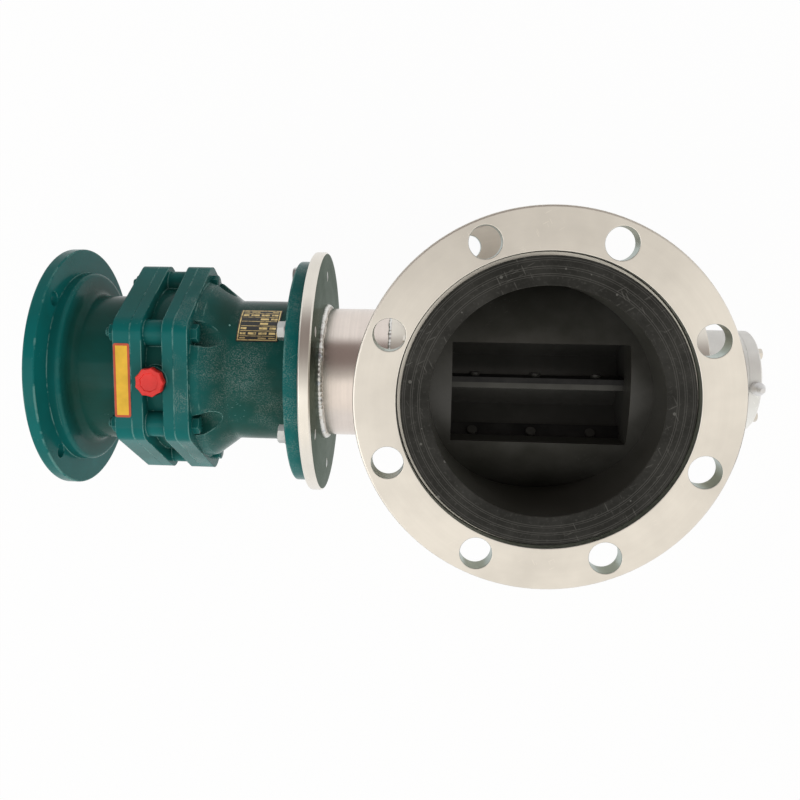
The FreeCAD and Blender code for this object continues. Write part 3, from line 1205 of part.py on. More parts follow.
def make_input_shaft():
    """The input shaft: a keyed socket for the motor, a journal, and the eccentrics' seat."""
    body = new_body("input_shaft")
    face, ring = "-(at.motor_face) + dim.socket_set", "-(at.ring_back)"
    floor = f"{face} + dim.motor_shaft_long"
    seat_end = "-(at.input_seat_end)"
    pilot_start = "-(at.carrier_back) - dim.shaft_gap"
    tip = "-(at.carrier_back) + dim.pilot_bearing_wide - dim.shaft_gap"
    socket, journal, middle, pilot = ("dim.socket_end_dia / 2", "dim.input_journal_dia / 2",
                                      "dim.input_dia / 2", "dim.pilot_dia / 2")
    turn(body, [(face, "at.bore_r"), (face, socket), (seat_end, socket), (seat_end, journal),
                (ring, journal), (ring, middle), (pilot_start, middle), (pilot_start, pilot), (tip, pilot),
                (tip, "0"), (floor, "0"), (floor, "at.bore_r")])

    def keyway(sketch):
        half = "dim.motor_key_wide / 2"
        draw_outline(sketch, [(face, half), (floor, half), (floor, f"-{half}"), (face, f"-{half}")])
    pocket(body, "XY_Plane", "0", "at.bore_r + dim.motor_key_deep", keyway)

    def key_slot(sketch):
        half = "dim.cam_key_wide / 2"
        start = "-(at.cam_key_end)"
        end = f"{start} + at.cam_key_long"
        draw_outline(sketch, [(start, half), (end, half), (end, f"-{half}"), (start, f"-{half}")])
    pocket(body, "XY_Plane", "dim.input_dia / 2 - dim.cam_key_high / 2", "dim.cam_key_high", key_slot)
    keep("input_shaft", body)


def make_reducer_bearings():
    """Bearings of the reducer's two shafts."""
    wide = "dim.big_bearing_wide"
    outer = bearing("dim.shaft_dia", "dim.big_bearing_dia", wide, f"-(at.outer_bearing) - {wide}")
    inner = bearing("dim.shaft_dia", "dim.big_bearing_dia", wide, f"-(at.inner_bearing) - {wide}")
    main = bearing("dim.input_journal_dia", "dim.input_bearing_dia", "dim.input_bearing_wide",
                   "-(at.input_seat_end)")
    pilot = bearing("dim.pilot_dia", "dim.pilot_bearing_dia", "dim.pilot_bearing_wide",
                    "-(at.carrier_back)")
    group("reducer_bearing_outer_rings", [outer[0], inner[0], main[0]])
    group("output_bearing_inner_rings", [outer[1], inner[1], pilot[0]])
    group("output_bearing_rollers", outer[2] + inner[2])
    group("input_bearing_inner_rings", [main[1], pilot[1]])
    group("input_bearing_rollers", main[2] + pilot[2])


def make_seals():
    """Lip seals: two on the rotor shaft and one on each shaft of the reducer."""
    big, small = "dim.shaft_dia / 2 + dim.running_fit", "dim.socket_end_dia / 2 + dim.running_fit"
    outer, input_outer = "dim.seal_dia / 2", "dim.socket_end_dia / 2 + dim.input_seal_high"
    seals = []
    for name, outside, bore, along in (
            ("drive_seal", outer, big, "-(at.cover_inner + dim.seal_ledge + dim.seal_wide)"),
            ("far_seal", outer, big, "at.cover_inner + dim.seal_ledge"),
            ("output_seal", outer, big, "-(at.plate_back) + dim.spigot_deep - dim.seal_wide"),
            ("input_seal", input_outer, small, "-(at.input_seal_end)")):
        seals.append(thin_ring(name, outside, bore, "dim.seal_wide", along).Shape)
    group("shaft_seals", seals)


def make_plugs():
    """Fluted filler plug on top, hexagon drain plug below, each on a sealing ring."""
    middle, reach = "-(at.plug_along)", "dim.plug_reach"
    seat = "at.axis_high + at.plug_seat"
    top = f"{seat} + dim.washer_thick"
    head = post("plug_head", "dim.plug_dia / 2", "dim.plug_high", top, middle)
    stem = post("plug_stem", "dim.plug_thread / 2", reach, f"{top} - {reach}", middle)
    count = int(value("dim.plug_flutes"))
    centre = Vector(value(middle), 0, value(top))
    beside = Vector(value("dim.plug_dia / 2 + dim.flute_radius - dim.flute_deep"), 0, 0)
    flute = Part.makeCylinder(value("dim.flute_radius"), value("dim.plug_high"), centre + beside)
    flute.rotate(centre, Vector(0, 0, 1), 180 / count)
    tool = doc.addObject("Part::Feature", "plug_flutes")
    tool.Shape = Part.makeCompound(round_post(flute, count, centre))
    keep("oil_filler_plug", fuse("oil_filler_plug", cut("fluted_head", head, tool), stem))

    prism = doc.addObject("Part::Prism", "drain_head")
    prism.Polygon = 6
    low = "at.axis_high - at.plug_seat - dim.washer_thick"
    for key, expression in (("Circumradius", "dim.drain_dia / 2"), ("Height", "dim.plug_high"),
                            ("Placement.Base.x", middle), ("Placement.Base.z", f"{low} - dim.plug_high")):
        prism.setExpression(key, expression)
    stem = post("drain_stem", "dim.plug_thread / 2", reach, low, middle)
    keep("oil_drain_plug", fuse("oil_drain_plug", prism, stem))
    rings = []
    for name, foot in (("filler_ring", seat), ("drain_ring", low)):
        ring = cut(name, post(name + "_outside", "dim.plug_boss", "dim.washer_thick", foot, middle),
                   post(name + "_bore", "dim.plug_thread / 2", "dim.washer_thick", foot, middle))
        doc.recompute()
        rings.append(ring.Shape)
    group("plug_sealing_rings", rings)


def round_post(shape, count, centre):
    """Copies of a shape, evenly spaced round an upright axis through centre."""
    copies = []
    for number in range(count):
        copy = shape.copy()
        copy.rotate(centre, Vector(0, 0, 1), 360 * number / count)
        copies.append(copy)
    return copies


def make_plates():
    """The bare nameplate on the barrel and the bare label on the case rim."""
    start = "-(at.neck_end) + dim.nameplate_set"
    radius = "at.output_neck_dia / 2"
    shells = []
    for name, outside in (("plate_outside", f"{radius} + dim.plate_foil"), ("plate_inside", radius)):
        shell = rod(name, outside, "dim.nameplate_long", start)
        shell.setExpression("Angle", "dim.nameplate_arc")
        shells.append(shell)
    plate = cut("nameplate", *shells)
    doc.recompute()
    shape = plate.Shape.copy()
    from_below = 180 - value("dim.nameplate_from + dim.nameplate_arc")
    shape.rotate(Vector(0, 0, value("at.axis_high")), Vector(1, 0, 0), from_below)
    item = doc.addObject("Part::Feature", "nameplate_seated")
    item.Shape = shape
    keep("nameplate", item)
    keep("rim_label", block("rim_label", ("dim.cover_rim - 2 * dim.label_set", "dim.label_long",
                                          "dim.plate_foil / 2"),
                            ("-(at.cover_rim_back) + dim.label_set", "-dim.label_long / 2",
                             "at.axis_high + at.case_flat")))


make_flange("outlet_flange", "0", False)
make_flange("inlet_flange", "dim.face_to_face - dim.flange_thick", True)
make_barrel()
make_neck("inlet_neck", True)
make_neck("outlet_neck", False)
make_neck_lining("inlet_liner", True)
make_neck_lining("outlet_liner", False)
make_port_linings()
make_barrel_lining()
make_cover("drive_end_cover", -1, "dim.hub_boss_dia", "dim.hub_boss_long")
make_cover("far_end_cover", 1, "dim.stub_dia", "0")
make_cover_bolts()
make_stub()
make_welds()
make_gaskets()
make_plate()
make_far_end()
make_rotor()
make_rotor_shaft()
make_coupling()
make_rotor_bearings()
make_output_housing()
make_pin_ring()
make_ring_pins()
make_adapter()
make_reducer_bolts()
make_output_shaft()
make_output_pins()
make_disc("cycloid_disc_a", "at.disc_a_front", 1)
make_disc("cycloid_disc_b", "at.disc_b_front", -1)
make_cams()
make_input_shaft()
make_reducer_bearings()
make_seals()
make_plugs()
make_plates()

# Checks and export

doc.recompute()
faults = [item.Label for item in doc.Objects if {"Invalid", "Error"} & set(item.State)]
for node, item in pieces.items():
    if item.Shape.isNull() or not item.Shape.isValid() or not item.Shape.Solids:
        faults.append(node)
if faults:
    raise RuntimeError("not sound: " + ", ".join(sorted(set(faults))))
os.makedirs("parts", exist_ok=True)
for node, item in pieces.items():
    item.Shape.exportStep(f"parts/{node}.step")
print(len(pieces), "sub-parts")
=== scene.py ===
"""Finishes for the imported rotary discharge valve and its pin-gear reducer.

The frame brings every solid in place. Here their edges are rounded, the weld beads are laid, the bolts,
nameplate and label are made, and each surface gets its material. Lengths are metres, in the frame's axes:
+Z up the product way, X along the rotor with the drive at -X.
"""
import math
import random

import bmesh
import bpy
from bpy.props import FloatProperty, FloatVectorProperty, IntProperty, PointerProperty
from bpy.types import Operator, Panel, PropertyGroup
from mathutils import Matrix, Vector, noise


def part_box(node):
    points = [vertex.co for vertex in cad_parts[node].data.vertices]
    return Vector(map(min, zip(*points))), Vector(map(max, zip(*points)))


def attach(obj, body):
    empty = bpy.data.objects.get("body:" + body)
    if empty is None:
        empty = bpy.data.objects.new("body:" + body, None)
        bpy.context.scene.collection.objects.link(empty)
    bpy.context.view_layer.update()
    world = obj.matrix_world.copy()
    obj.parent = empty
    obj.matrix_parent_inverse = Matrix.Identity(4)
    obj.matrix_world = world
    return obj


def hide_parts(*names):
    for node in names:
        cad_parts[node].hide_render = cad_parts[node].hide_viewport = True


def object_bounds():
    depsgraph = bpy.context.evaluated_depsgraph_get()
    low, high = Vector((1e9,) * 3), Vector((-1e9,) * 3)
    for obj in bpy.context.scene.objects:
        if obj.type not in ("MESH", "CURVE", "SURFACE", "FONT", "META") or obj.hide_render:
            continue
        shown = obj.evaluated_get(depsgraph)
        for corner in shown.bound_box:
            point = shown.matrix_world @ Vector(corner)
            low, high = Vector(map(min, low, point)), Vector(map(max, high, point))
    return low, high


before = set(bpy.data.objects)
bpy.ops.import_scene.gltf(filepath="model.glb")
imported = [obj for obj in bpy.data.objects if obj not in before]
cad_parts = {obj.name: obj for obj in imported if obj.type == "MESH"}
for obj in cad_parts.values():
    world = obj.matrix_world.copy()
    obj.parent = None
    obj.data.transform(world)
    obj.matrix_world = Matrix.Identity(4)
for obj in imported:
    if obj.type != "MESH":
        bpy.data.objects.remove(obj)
frame_box = [list(corner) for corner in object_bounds()]

bl_info = {
    "name": "Discharge valve finishes",
    "version": (1, 0, 0),
    "blender": (4, 5, 0),
    "location": "3D View > Sidebar > Valve",
    "description": "Rounds, welds, bolts and materials for a packed rotary discharge valve",
    "category": "Object",
}

# Metres and radians
SAME_POINT = 2e-6
FLAT_ENOUGH = math.radians(0.5)
SHARP = math.radians(32)
HOLE_MARGIN = 0.002
PLATE_CORNER = 0.0012
# Steps and samples
ROUND_STEPS = 32
BEAD_STEPS = 8
RIPPLE_STEPS = 5
PLATE_STEPS = 24
BEVEL_SAMPLES = 4
# Shares of a hexagon's reach to its corner that count as its head, and of its flats that stay flat
HEAD_REACH = 0.95
FLAT_SHARE = 0.95
# Shares of the filler plug's reach beyond which lie its grip, and all that isn't its middle
GRIP_REACH = 0.93
CENTRE_REACH = 0.2
# Share of its pitch that a thread is deep, and threads that show on the case bolts and on the plug
THREAD_DEPTH = 0.55
CASE_THREADS = 8
PLUG_THREADS = 6
# Outline of the plug's grip from its seat to the hollow in its top, in shares of its radius and height
GRIP_OUTLINE = ((1.0, 0.0), (1.0, 0.86), (0.94, 1.0), (0.66, 1.0), (0.62, 0.9))
POINT_STEPS = 16
# Power that squares a bead's round outline, share of its leg that stays plain in the corner, lag and mean
# height of its ripples, how often it wanders, and the start of its random numbers
BEAD_POWER = 0.8
BEAD_CORNER = 0.05
RIPPLE_LAG = 0.9
RIPPLE_MEAN = 0.7
WANDERS = 8
BEAD_SEED = 11
# Least share of its normal along the rotor for a face across it, and largest share upward for a wall
ACROSS_LEAST = 0.99
WALL_MOST = 0.5
# Millimetres
SENSOR_WIDTH = 36


def middle_of(node):
    low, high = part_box(node)
    return (low + high) / 2


AXIS_HIGH = middle_of("rotor_end_discs").z
# Distances from a pipe flange's axis between which its bolt holes lie
SOCKET_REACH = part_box("inlet_liner")[1].x + HOLE_MARGIN
FLANGE_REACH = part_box("inlet_flange")[1].x - HOLE_MARGIN


# Settings

def number(name, description, default, **limits):
    return FloatProperty(name=name, description=description, default=default, **limits)


def length(name, description, default):
    return number(name, description, default, unit="LENGTH", precision=5)


def vector(name, description, default, subtype="NONE", **limits):
    return FloatVectorProperty(name=name, description=description, default=default, subtype=subtype,
                               size=len(default), **limits)


def colour(name, description, default):
    return vector(name, description, default, "COLOR", min=0, max=1)


class ValveSizes(PropertyGroup):
    edge_round: length("Edge rounding", "Rounding of turned and cut edges", 0.0009)
    liner_round: length("Lining rounding", "Rounding of the moulded lining's edges", 0.0014)
    casting_round: length("Casting rounding", "Rounding of the painted castings' edges", 0.0016)
    fine_round: length("Fine rounding", "Rounding of plugs, rings and small fittings", 0.0005)
    weld_size: number("Weld size", "Share of its leg that a bead fills", 0.86, min=0.5, max=1)
    weld_pitch: length("Weld pitch", "Distance from one ripple of a bead to the next", 0.0046)
    weld_ripple: length("Weld ripple", "Height of a bead's ripples", 0.0004)
    weld_wander: length("Weld wander", "How far a bead's edge wanders", 0.0009)
    bolt_chamfer: number("Bolt chamfer", "Slope of the turned corners of bolt heads", math.radians(28),
                         subtype="ANGLE")
    thread_pitch: length("Thread pitch", "Pitch of the threads that show past the nuts", 0.0015)
    label_border: length("Label border", "Width of the label's border", 0.0022)
    plate_turn: number("Nameplate turn", "How far round its neck the plate is stuck", math.radians(8),
                       subtype="ANGLE")
    plate_frame: length("Nameplate frame", "Width of the nameplate's frame line", 0.0011)
    plate_rows: IntProperty(name="Nameplate rows", description="Ruled rows on the nameplate", default=7)
    plug_points: IntProperty(name="Plug points", description="Points round the plug's grip", default=9)
    plug_scallop: length("Plug scallop", "Depth of the hollows between the points", 0.0013)


class ValveColours(PropertyGroup):
    stainless: colour("Stainless", "Machined stainless steel", (0.755, 0.715, 0.645))
    # Painted shade: the bolt-hole walls are darker and green grey, with a painted reflection of a green
    # floor
    hole_wall_painted_shade: colour("Drilled", "Walls of the bolt holes", (0.36, 0.42, 0.38))
    pipe: colour("Pipe", "Polished stainless pipe", (0.73, 0.655, 0.60))
    # Painted reflection: dark green on the drive plate's faces across the rotor, standing in for a green
    # floor seen in them
    plate_face_painted_reflection: colour("Mill face", "Dull rolled faces of the drive plate", (0.09, 0.12, 0.097))
    far_steel: colour("Far housing", "Pale turned steel at the free end", (0.92, 0.93, 0.91))
    weld: colour("Weld", "Weld metal", (0.74, 0.73, 0.70))
    zinc: colour("Zinc", "Zinc-plated bolts", (0.50, 0.51, 0.50))
    dark_steel: colour("Dark steel", "Turned carbon steel inside", (0.34, 0.34, 0.33))
    bright_steel: colour("Bright steel", "Ground bearing steel", (0.62, 0.62, 0.62))
    # A very dark colour for the rotor, its end discs and its strip screws
    blackened: colour("Blackened steel", "Rotor steel, blackened by the product", (0.085, 0.085, 0.078))
    green: colour("Green paint", "Gloss paint of the castings", (0.006, 0.146, 0.144))
    # Dark green of thicker paint, and of the painted shade near the rotor axis
    green_dark: colour("Dark green", "Paint where it lies thicker", (0.012, 0.066, 0.052))
    # Pale teal of rubbed paint, also used as the painted highlight along edges
    undercoat_and_highlight: colour("Worn paint", "Paint where its edges are rubbed pale", (0.24, 0.48, 0.45))
    lining: colour("Lining", "Moulded black lining", (0.016, 0.016, 0.0135))
    scuffed: colour("Scuffed lining", "Rubbed lining", (0.13, 0.13, 0.12))
    rubber: colour("Rubber", "Seals and gaskets", (0.016, 0.016, 0.016))
    red: colour("Red plastic", "Oil filler plug", (0.82, 0.026, 0.019))
    plate_black: colour("Plate black", "Printed ground of the nameplate", (0.012, 0.012, 0.011))
    gold: colour("Gold", "Bare lines and bars of the nameplate", (0.72, 0.55, 0.24))
    yellow: colour("Yellow", "Field of the label", (0.92, 0.56, 0.045))
    orange: colour("Orange", "Border of the label", (0.60, 0.10, 0.045))
    dust: colour("Dust", "Pale dust on the paint", (0.62, 0.66, 0.62))
    floor: colour("Floor", "The floor and the backdrop", (0.90, 0.90, 0.89))


class StageSettings(PropertyGroup):
    floor_size: length("Floor size", "Length of the floor's sides", 60.0)
    floor_gap: length("Floor gap", "Floor below the outlet flange", 0.0004)
    floor_glow: number("Floor glow", "Share of the floor's white that has no shadow", 0.96, min=0, max=1)
    sky_above: colour("Sky above", "Room light from straight above", (0.54, 0.53, 0.505))
    sky_bright: colour("Bright side", "Room light from the front right", (0.97, 0.94, 0.90))
    sky_dull: colour("Dull side", "Room light from behind the drive", (0.24, 0.20, 0.19))
    sky_level: number("Sky level", "Strength of the room light", 1.15)
    lamp_power: number("Lamp", "Power of the soft lamp", 8, unit="POWER")
    lamp_size: length("Lamp size", "Side of the soft lamp", 1.3)
    lamp_place: vector("Lamp place", "Centre of the soft lamp", (-1.35, -0.25, 1.8), "TRANSLATION")
    camera_place: vector("Camera place", "Where the photograph was taken from", (-0.0978, 0.1199, 1.0137),
                         "TRANSLATION")
    camera_turn: vector("Camera turn", "Turn of the camera",
                        tuple(map(math.radians, (-8.125, 4.459, 0.694))), "EULER")
    camera_lens: number("Lens", "Focal length for a 36 mm sensor, in millimetres", 36.535, unit="CAMERA")
    camera_shift: vector("Shift", "Framing of the photograph", (0.0377, -0.03195))


# Node trees

class Graph:
    """A node tree with short calls that add a node and join its sockets."""

    def __init__(self, tree):
        self.tree = tree

    def add(self, kind, inputs=None, **settings):
        node = self.tree.nodes.new("ShaderNode" + kind)
        for key, setting in settings.items():
            setattr(node, key, setting)
        self.fill(node, inputs or {})
        return node

    def fill(self, node, inputs):
        for key, source in inputs.items():
            self.feed(node.inputs[key], source)

    def feed(self, socket, source):
        """Links a socket to a socket or to a node's first output, or sets its value."""
        if isinstance(source, bpy.types.Node):
            source = source.outputs[0]
        if isinstance(source, bpy.types.NodeSocket):
            self.tree.links.new(source, socket)
        elif socket.type == "RGBA":
            socket.default_value = (*tuple(source)[:3], 1)
        else:
            socket.default_value = source

    def math(self, operation, first, second=0.0, third=0.0, clamp=False):
        return self.add("Math", {0: first, 1: second, 2: third}, operation=operation,
                        use_clamp=clamp).outputs[0]

    def times(self, first, second, plus=0.0, clamp=False):
        return self.math("MULTIPLY_ADD", first, second, plus, clamp)

    def most(self, first, *others):
        """The largest of several values."""
        for other in others:
            first = self.math("MAXIMUM", first, other)
        return first

    def spread(self, value, low, high, to_low=0.0, to_high=1.0):
        """A value from low to high becomes one from to_low to to_high and stays within them."""
        return self.add("MapRange", {"Value": value, "From Min": low, "From Max": high,
                                     "To Min": to_low, "To Max": to_high}).outputs[0]

    def mix(self, factor, first, second):
        return self.add("Mix", {0: factor, 6: first, 7: second}, data_type="RGBA").outputs[2]

    def parts(self, place):
        return self.add("SeparateXYZ", {0: place}).outputs

    def off_axis(self, place):
        """Distance of a place from its Z axis."""
        apart = self.parts(place)
        return self.math("SQRT", self.math("ADD", self.math("POWER", apart["X"], 2),
                                           self.math("POWER", apart["Y"], 2)))

    def noise(self, place, scale, detail=2.0, roughness=0.5):
        return self.add("TexNoise", {"Vector": place, "Scale": scale, "Detail": detail,
                                     "Roughness": roughness}).outputs["Fac"]

    def bump(self, height, distance, strength=0.5, **normal):
        return self.add("Bump", {"Height": height, "Distance": distance, "Strength": strength, **normal})

    def effect(self, name, place, **inputs):
        """Places one of the shared effects with its own values."""
        group = bpy.data.node_groups[name]
        return self.add("Group", {"Vector": place, **inputs}, node_tree=group).outputs[0]

    def end(self, node, inputs):
        """Feeds the last node and puts all of them in one row, so that the tree can be read."""
        self.fill(node, inputs)
        for column, placed in enumerate(self.tree.nodes):
            placed.location = (column * 190, 0)


def clean_graph(owner):
    """The emptied node tree of a material or a world."""
    owner.use_nodes = True
    owner.node_tree.nodes.clear()
    return Graph(owner.node_tree)


def new_effect(name, output, **inputs):
    """A node group with one output and named inputs, which are vectors where the value is None."""
    tree = bpy.data.node_groups.new(name, "ShaderNodeTree")
    for label, default in {"Vector": None, **inputs}.items():
        kind = "NodeSocketVector" if default is None else "NodeSocketFloat"
        socket = tree.interface.new_socket(label, in_out="INPUT", socket_type=kind)
        if default is not None:
            socket.default_value = default
    tree.interface.new_socket(output, in_out="OUTPUT", socket_type="NodeSocketFloat")
    return Graph(tree), tree.nodes.new("NodeGroupInput").outputs, tree.nodes.new("NodeGroupOutput")


def effect_turning_lines():
    """Rings round the vector's Z axis, as a lathe leaves on faces and rims."""
    graph, given, last = new_effect("turning lines", "Height", Rings=900.0)
    along = graph.parts(given["Vector"])["Z"]
    spot = graph.add("CombineXYZ", {"X": graph.off_axis(given["Vector"]), "Y": along})
    fine = graph.noise(spot, given["Rings"], 2, 0.6)
    coarse = graph.noise(spot, graph.times(given["Rings"], 0.13), 1)
    graph.end(last, {0: graph.times(fine, 0.6, graph.times(coarse, 0.4))})


def effect_scratches():
    """Long thin marks in two slanting directions, in patches."""
    graph, given, last = new_effect("scratches", "Mask", Scale=400.0, Width=0.12, Amount=0.5)
    marks = []
    for turn, stretch in ((0.5, 30), (-1.1, 45)):
        slant = graph.add("Mapping", {"Vector": given["Vector"], "Rotation": (0.2 * turn, 0.1, turn),
                                      "Scale": (stretch, 1, 1)}, vector_type="TEXTURE")
        cells = graph.add("TexVoronoi", {"Vector": slant, "Scale": given["Scale"]})
        marks.append(graph.math("LESS_THAN", cells, given["Width"]))
    patches = graph.noise(given["Vector"], graph.times(given["Scale"], 0.06), 3)
    least = graph.math("SUBTRACT", 1, given["Amount"])
    shown = graph.spread(patches, least, graph.math("ADD", least, 0.12))
    graph.end(last, {0: graph.times(graph.most(*marks), shown)})


def effect_specks():
    """Scattered round specks of uneven size."""
    graph, given, last = new_effect("specks", "Mask", Scale=300.0, Size=0.2, Share=0.1)
    cells = graph.add("TexVoronoi", {"Vector": given["Vector"], "Scale": given["Scale"]})
    chance = graph.add("SeparateColor", {0: cells.outputs["Color"]})
    size = graph.times(given["Size"], graph.math("ADD", chance.outputs["Green"], 0.25))
    near = graph.math("LESS_THAN", cells.outputs["Distance"], size)
    kept = graph.math("LESS_THAN", chance.outputs["Red"], given["Share"])
    graph.end(last, {0: graph.times(near, kept)})


def effect_cast_skin():
    """The fine orange peel of paint over a sand casting."""
    graph, given, last = new_effect("cast skin", "Height", Scale=260.0)
    sand = graph.noise(given["Vector"], given["Scale"], 3, 0.6)
    wave = graph.noise(given["Vector"], graph.times(given["Scale"], 0.16), 1)
    graph.end(last, {0: graph.times(sand, 0.35, wave)})


def effect_worn_and_highlit_edges():
    """Where a rounded normal leaves the flat one: the corners that rub first, broken up by noise. It marks
    real edge rubbing and also painted highlights along the edges.
    """
    graph, given, last = new_effect("worn edges", "Mask", Rounded=None, Flat=None, Wear=0.5)
    along = graph.add("VectorMath", {0: given["Rounded"], 1: given["Flat"]}, operation="DOT_PRODUCT")
    turned = graph.math("SUBTRACT", 1, along.outputs["Value"])
    broken = graph.noise(given["Vector"], 34.0, 4, 0.7)
    least = graph.math("SUBTRACT", 0.82, graph.times(given["Wear"], 0.5))
    shown = graph.spread(broken, least, graph.math("ADD", least, 0.08))
    graph.end(last, {0: graph.times(graph.spread(turned, 0.004, 0.03), shown)})


# Materials

def start_material(name):
    """A new material: its graph, its shader and the object's coordinates."""
    graph = clean_graph(bpy.data.materials.new(name))
    shader = graph.add("BsdfPrincipled")
    graph.add("OutputMaterial", {"Surface": shader})
    return graph, shader, graph.add("TexCoord").outputs["Object"]


def about_rotor(graph, place):
    """Coordinates whose Z axis is the rotor's."""
    return graph.add("Mapping", {"Vector": place, "Location": (0, 0, AXIS_HIGH),
                                 "Rotation": (0, math.pi / 2, 0)}, vector_type="TEXTURE").outputs[0]


def shade(tint, factor):
    return tuple(part * factor for part in tint)


def metal(name, tint, rough, upright=False, rings=900.0, depth=0.000012, scratched=0.42, mottled=0.10,
          rounding=0.0, edge_tint=(1, 1, 1), bare=1.0):
    """Bare metal: lathe rings about the rotor or the product way, scratches and cloudy patches."""
    graph, shader, place = start_material(name)
    axis = place if upright else about_rotor(graph, place)
    lines = graph.effect("turning lines", axis, Rings=rings)
    marks = graph.effect("scratches", place, Scale=420.0, Width=0.13, Amount=scratched)
    patch = graph.spread(graph.noise(place, 13.0, 4, 0.6), 0.36, 0.66)
    base = graph.mix(patch, shade(tint, 1 + mottled / 2), shade(tint, 1 - mottled))
    lined = graph.mix(graph.spread(lines, 0.35, 0.75, 0, 0.35), base, shade(tint, 0.86))
    uneven = graph.times(lines, 0.16, rough - 0.08)
    smeared = graph.times(patch, 0.06, uneven)
    height = graph.math("SUBTRACT", lines, graph.times(marks, 0.6))
    normal = {}
    if rounding:
        normal["Normal"] = graph.add("Bevel", {"Radius": rounding}, samples=BEVEL_SAMPLES)
    graph.end(shader, {
        "Base Color": graph.mix(graph.times(marks, 0.5), lined, shade(tint, 1.18)),
        "Roughness": graph.times(marks, 0.12, smeared, clamp=True),
        "Metallic": bare, "Specular Tint": edge_tint,
        "Normal": graph.bump(height, depth, 1.0, **normal)})


def paint(name, colours, rounding, dusty=0.0, edge_wear_and_highlight=0.72):
    """Gloss paint over cast iron, chipped and rubbed pale on its edges, with dust from the shop, painted
    edge highlights and painted shade near the rotor axis.
    """
    graph, shader, place = start_material(name)
    skin = graph.effect("cast skin", place)
    clouds = graph.noise(place, 17.0, 3, 0.6)
    rounded = graph.add("Bevel", {"Radius": rounding}, samples=BEVEL_SAMPLES)
    flat = graph.add("NewGeometry").outputs["Normal"]
    worn_and_highlit = graph.effect("worn edges", place, Rounded=rounded, Flat=flat, Wear=edge_wear_and_highlight)
    chips = graph.effect("specks", place, Scale=70.0, Size=0.14, Share=0.02)
    dust = graph.spread(graph.noise(place, 850.0, 3, 0.7), 0.46, 0.72)
    settled = graph.spread(graph.noise(place, 26.0, 3), 0.44, 0.68, 0, dusty)
    dusted = graph.times(dust, settled)
    marks = graph.effect("scratches", place, Scale=380.0, Width=0.13, Amount=0.44)
    # Painted shade: the paint is darker close to the rotor axis, on the narrow necks
    painted_shade_near_axis = graph.spread(graph.off_axis(about_rotor(graph, place)), 0.080, 0.104, 0.7, 0)
    # Random thicker paint from the clouds, plus the painted shade near the axis
    thick_paint_and_shade = graph.math("ADD", painted_shade_near_axis, graph.spread(clouds, 0.35, 0.7, 0, 0.3))
    base = graph.mix(thick_paint_and_shade, colours.green, colours.green_dark)
    scratched = graph.mix(graph.times(marks, 0.35), base, colours.undercoat_and_highlight)
    # Pale edges: real rubbing, and painted highlights along every edge
    rubbed = graph.mix(graph.times(worn_and_highlit, 0.75), scratched, colours.undercoat_and_highlight)
    chipped = graph.mix(chips, rubbed, shade(colours.undercoat_and_highlight, 1.2))
    sheen = graph.spread(clouds, 0.3, 0.7, 0.16, 0.30)
    height = graph.math("SUBTRACT", skin, graph.times(chips, 0.5))
    graph.end(shader, {
        "Base Color": graph.mix(dusted, chipped, colours.dust),
        "Roughness": graph.times(graph.most(worn_and_highlit, chips, dusted), 0.3, sheen),
        "Specular IOR Level": 0.05, "Coat Weight": 0.05, "Coat Roughness": 0.08,
        "Normal": graph.bump(height, 0.00016, 0.55, Normal=rounded)})


def moulded(name, tint, rubbed, rough, scuffs, gloss=0.16, grooves=(), nicked=0.0):
    """Moulded black lining or rubber: matt, scuffed and nicked, with fine moulding rings on a collar."""
    graph, shader, place = start_material(name)
    radius = graph.off_axis(place)
    lines = graph.effect("turning lines", place, Rings=520.0)
    skin = graph.noise(place, 420.0, 3, 0.6)
    height = graph.times(lines, 0.5, graph.times(skin, 0.35))
    edge = 0.0
    for groove in grooves:
        off = graph.math("ABSOLUTE", graph.math("SUBTRACT", radius, groove))
        cut = graph.spread(off, 0.0001, 0.0006, 1, 0)
        height = graph.times(cut, -3.0, height)
        beside = graph.spread(graph.math("ABSOLUTE", graph.math("SUBTRACT", off, 0.0008)), 0, 0.0005, 1, 0)
        edge = graph.most(beside, edge)
    marks = graph.effect("scratches", place, Scale=330.0, Width=0.15, Amount=scuffs)
    nicks = graph.effect("specks", place, Scale=190.0, Size=0.24, Share=nicked)
    clouds = graph.spread(graph.noise(place, 24.0, 4, 0.65), 0.4, 0.75)
    crumbs = graph.spread(graph.noise(place, 330.0, 4, 0.75), 0.55, 0.72, 0, 3 * nicked)
    grimy = graph.mix(graph.times(clouds, 0.24, crumbs), tint, rubbed)
    grooved = graph.mix(graph.times(edge, 0.42), grimy, rubbed)
    scuffed = graph.most(graph.times(marks, 0.45), graph.times(nicks, 0.8))
    graph.end(shader, {
        "Base Color": graph.mix(scuffed, grooved, rubbed),
        "Roughness": graph.spread(clouds, 0, 1, rough, rough + 0.12),
        "Specular IOR Level": gloss, "Normal": graph.bump(height, 0.00012, 0.6)})


def weld_metal(name, tint):
    """Silvery weld metal with dull blue and straw patches from the heat."""
    graph, shader, place = start_material(name)
    heat = graph.noise(place, 70.0, 3, 0.6)
    fine = graph.noise(place, 900.0, 3, 0.6)
    straw = graph.mix(graph.spread(heat, 0.55, 0.75), tint, (0.42, 0.36, 0.28))
    graph.end(shader, {
        "Base Color": graph.mix(graph.spread(heat, 0.44, 0.30), straw, (0.40, 0.44, 0.50)),
        "Roughness": graph.spread(fine, 0.3, 0.7, 0.22, 0.42), "Metallic": 1.0,
        "Normal": graph.bump(fine, 0.0001)})


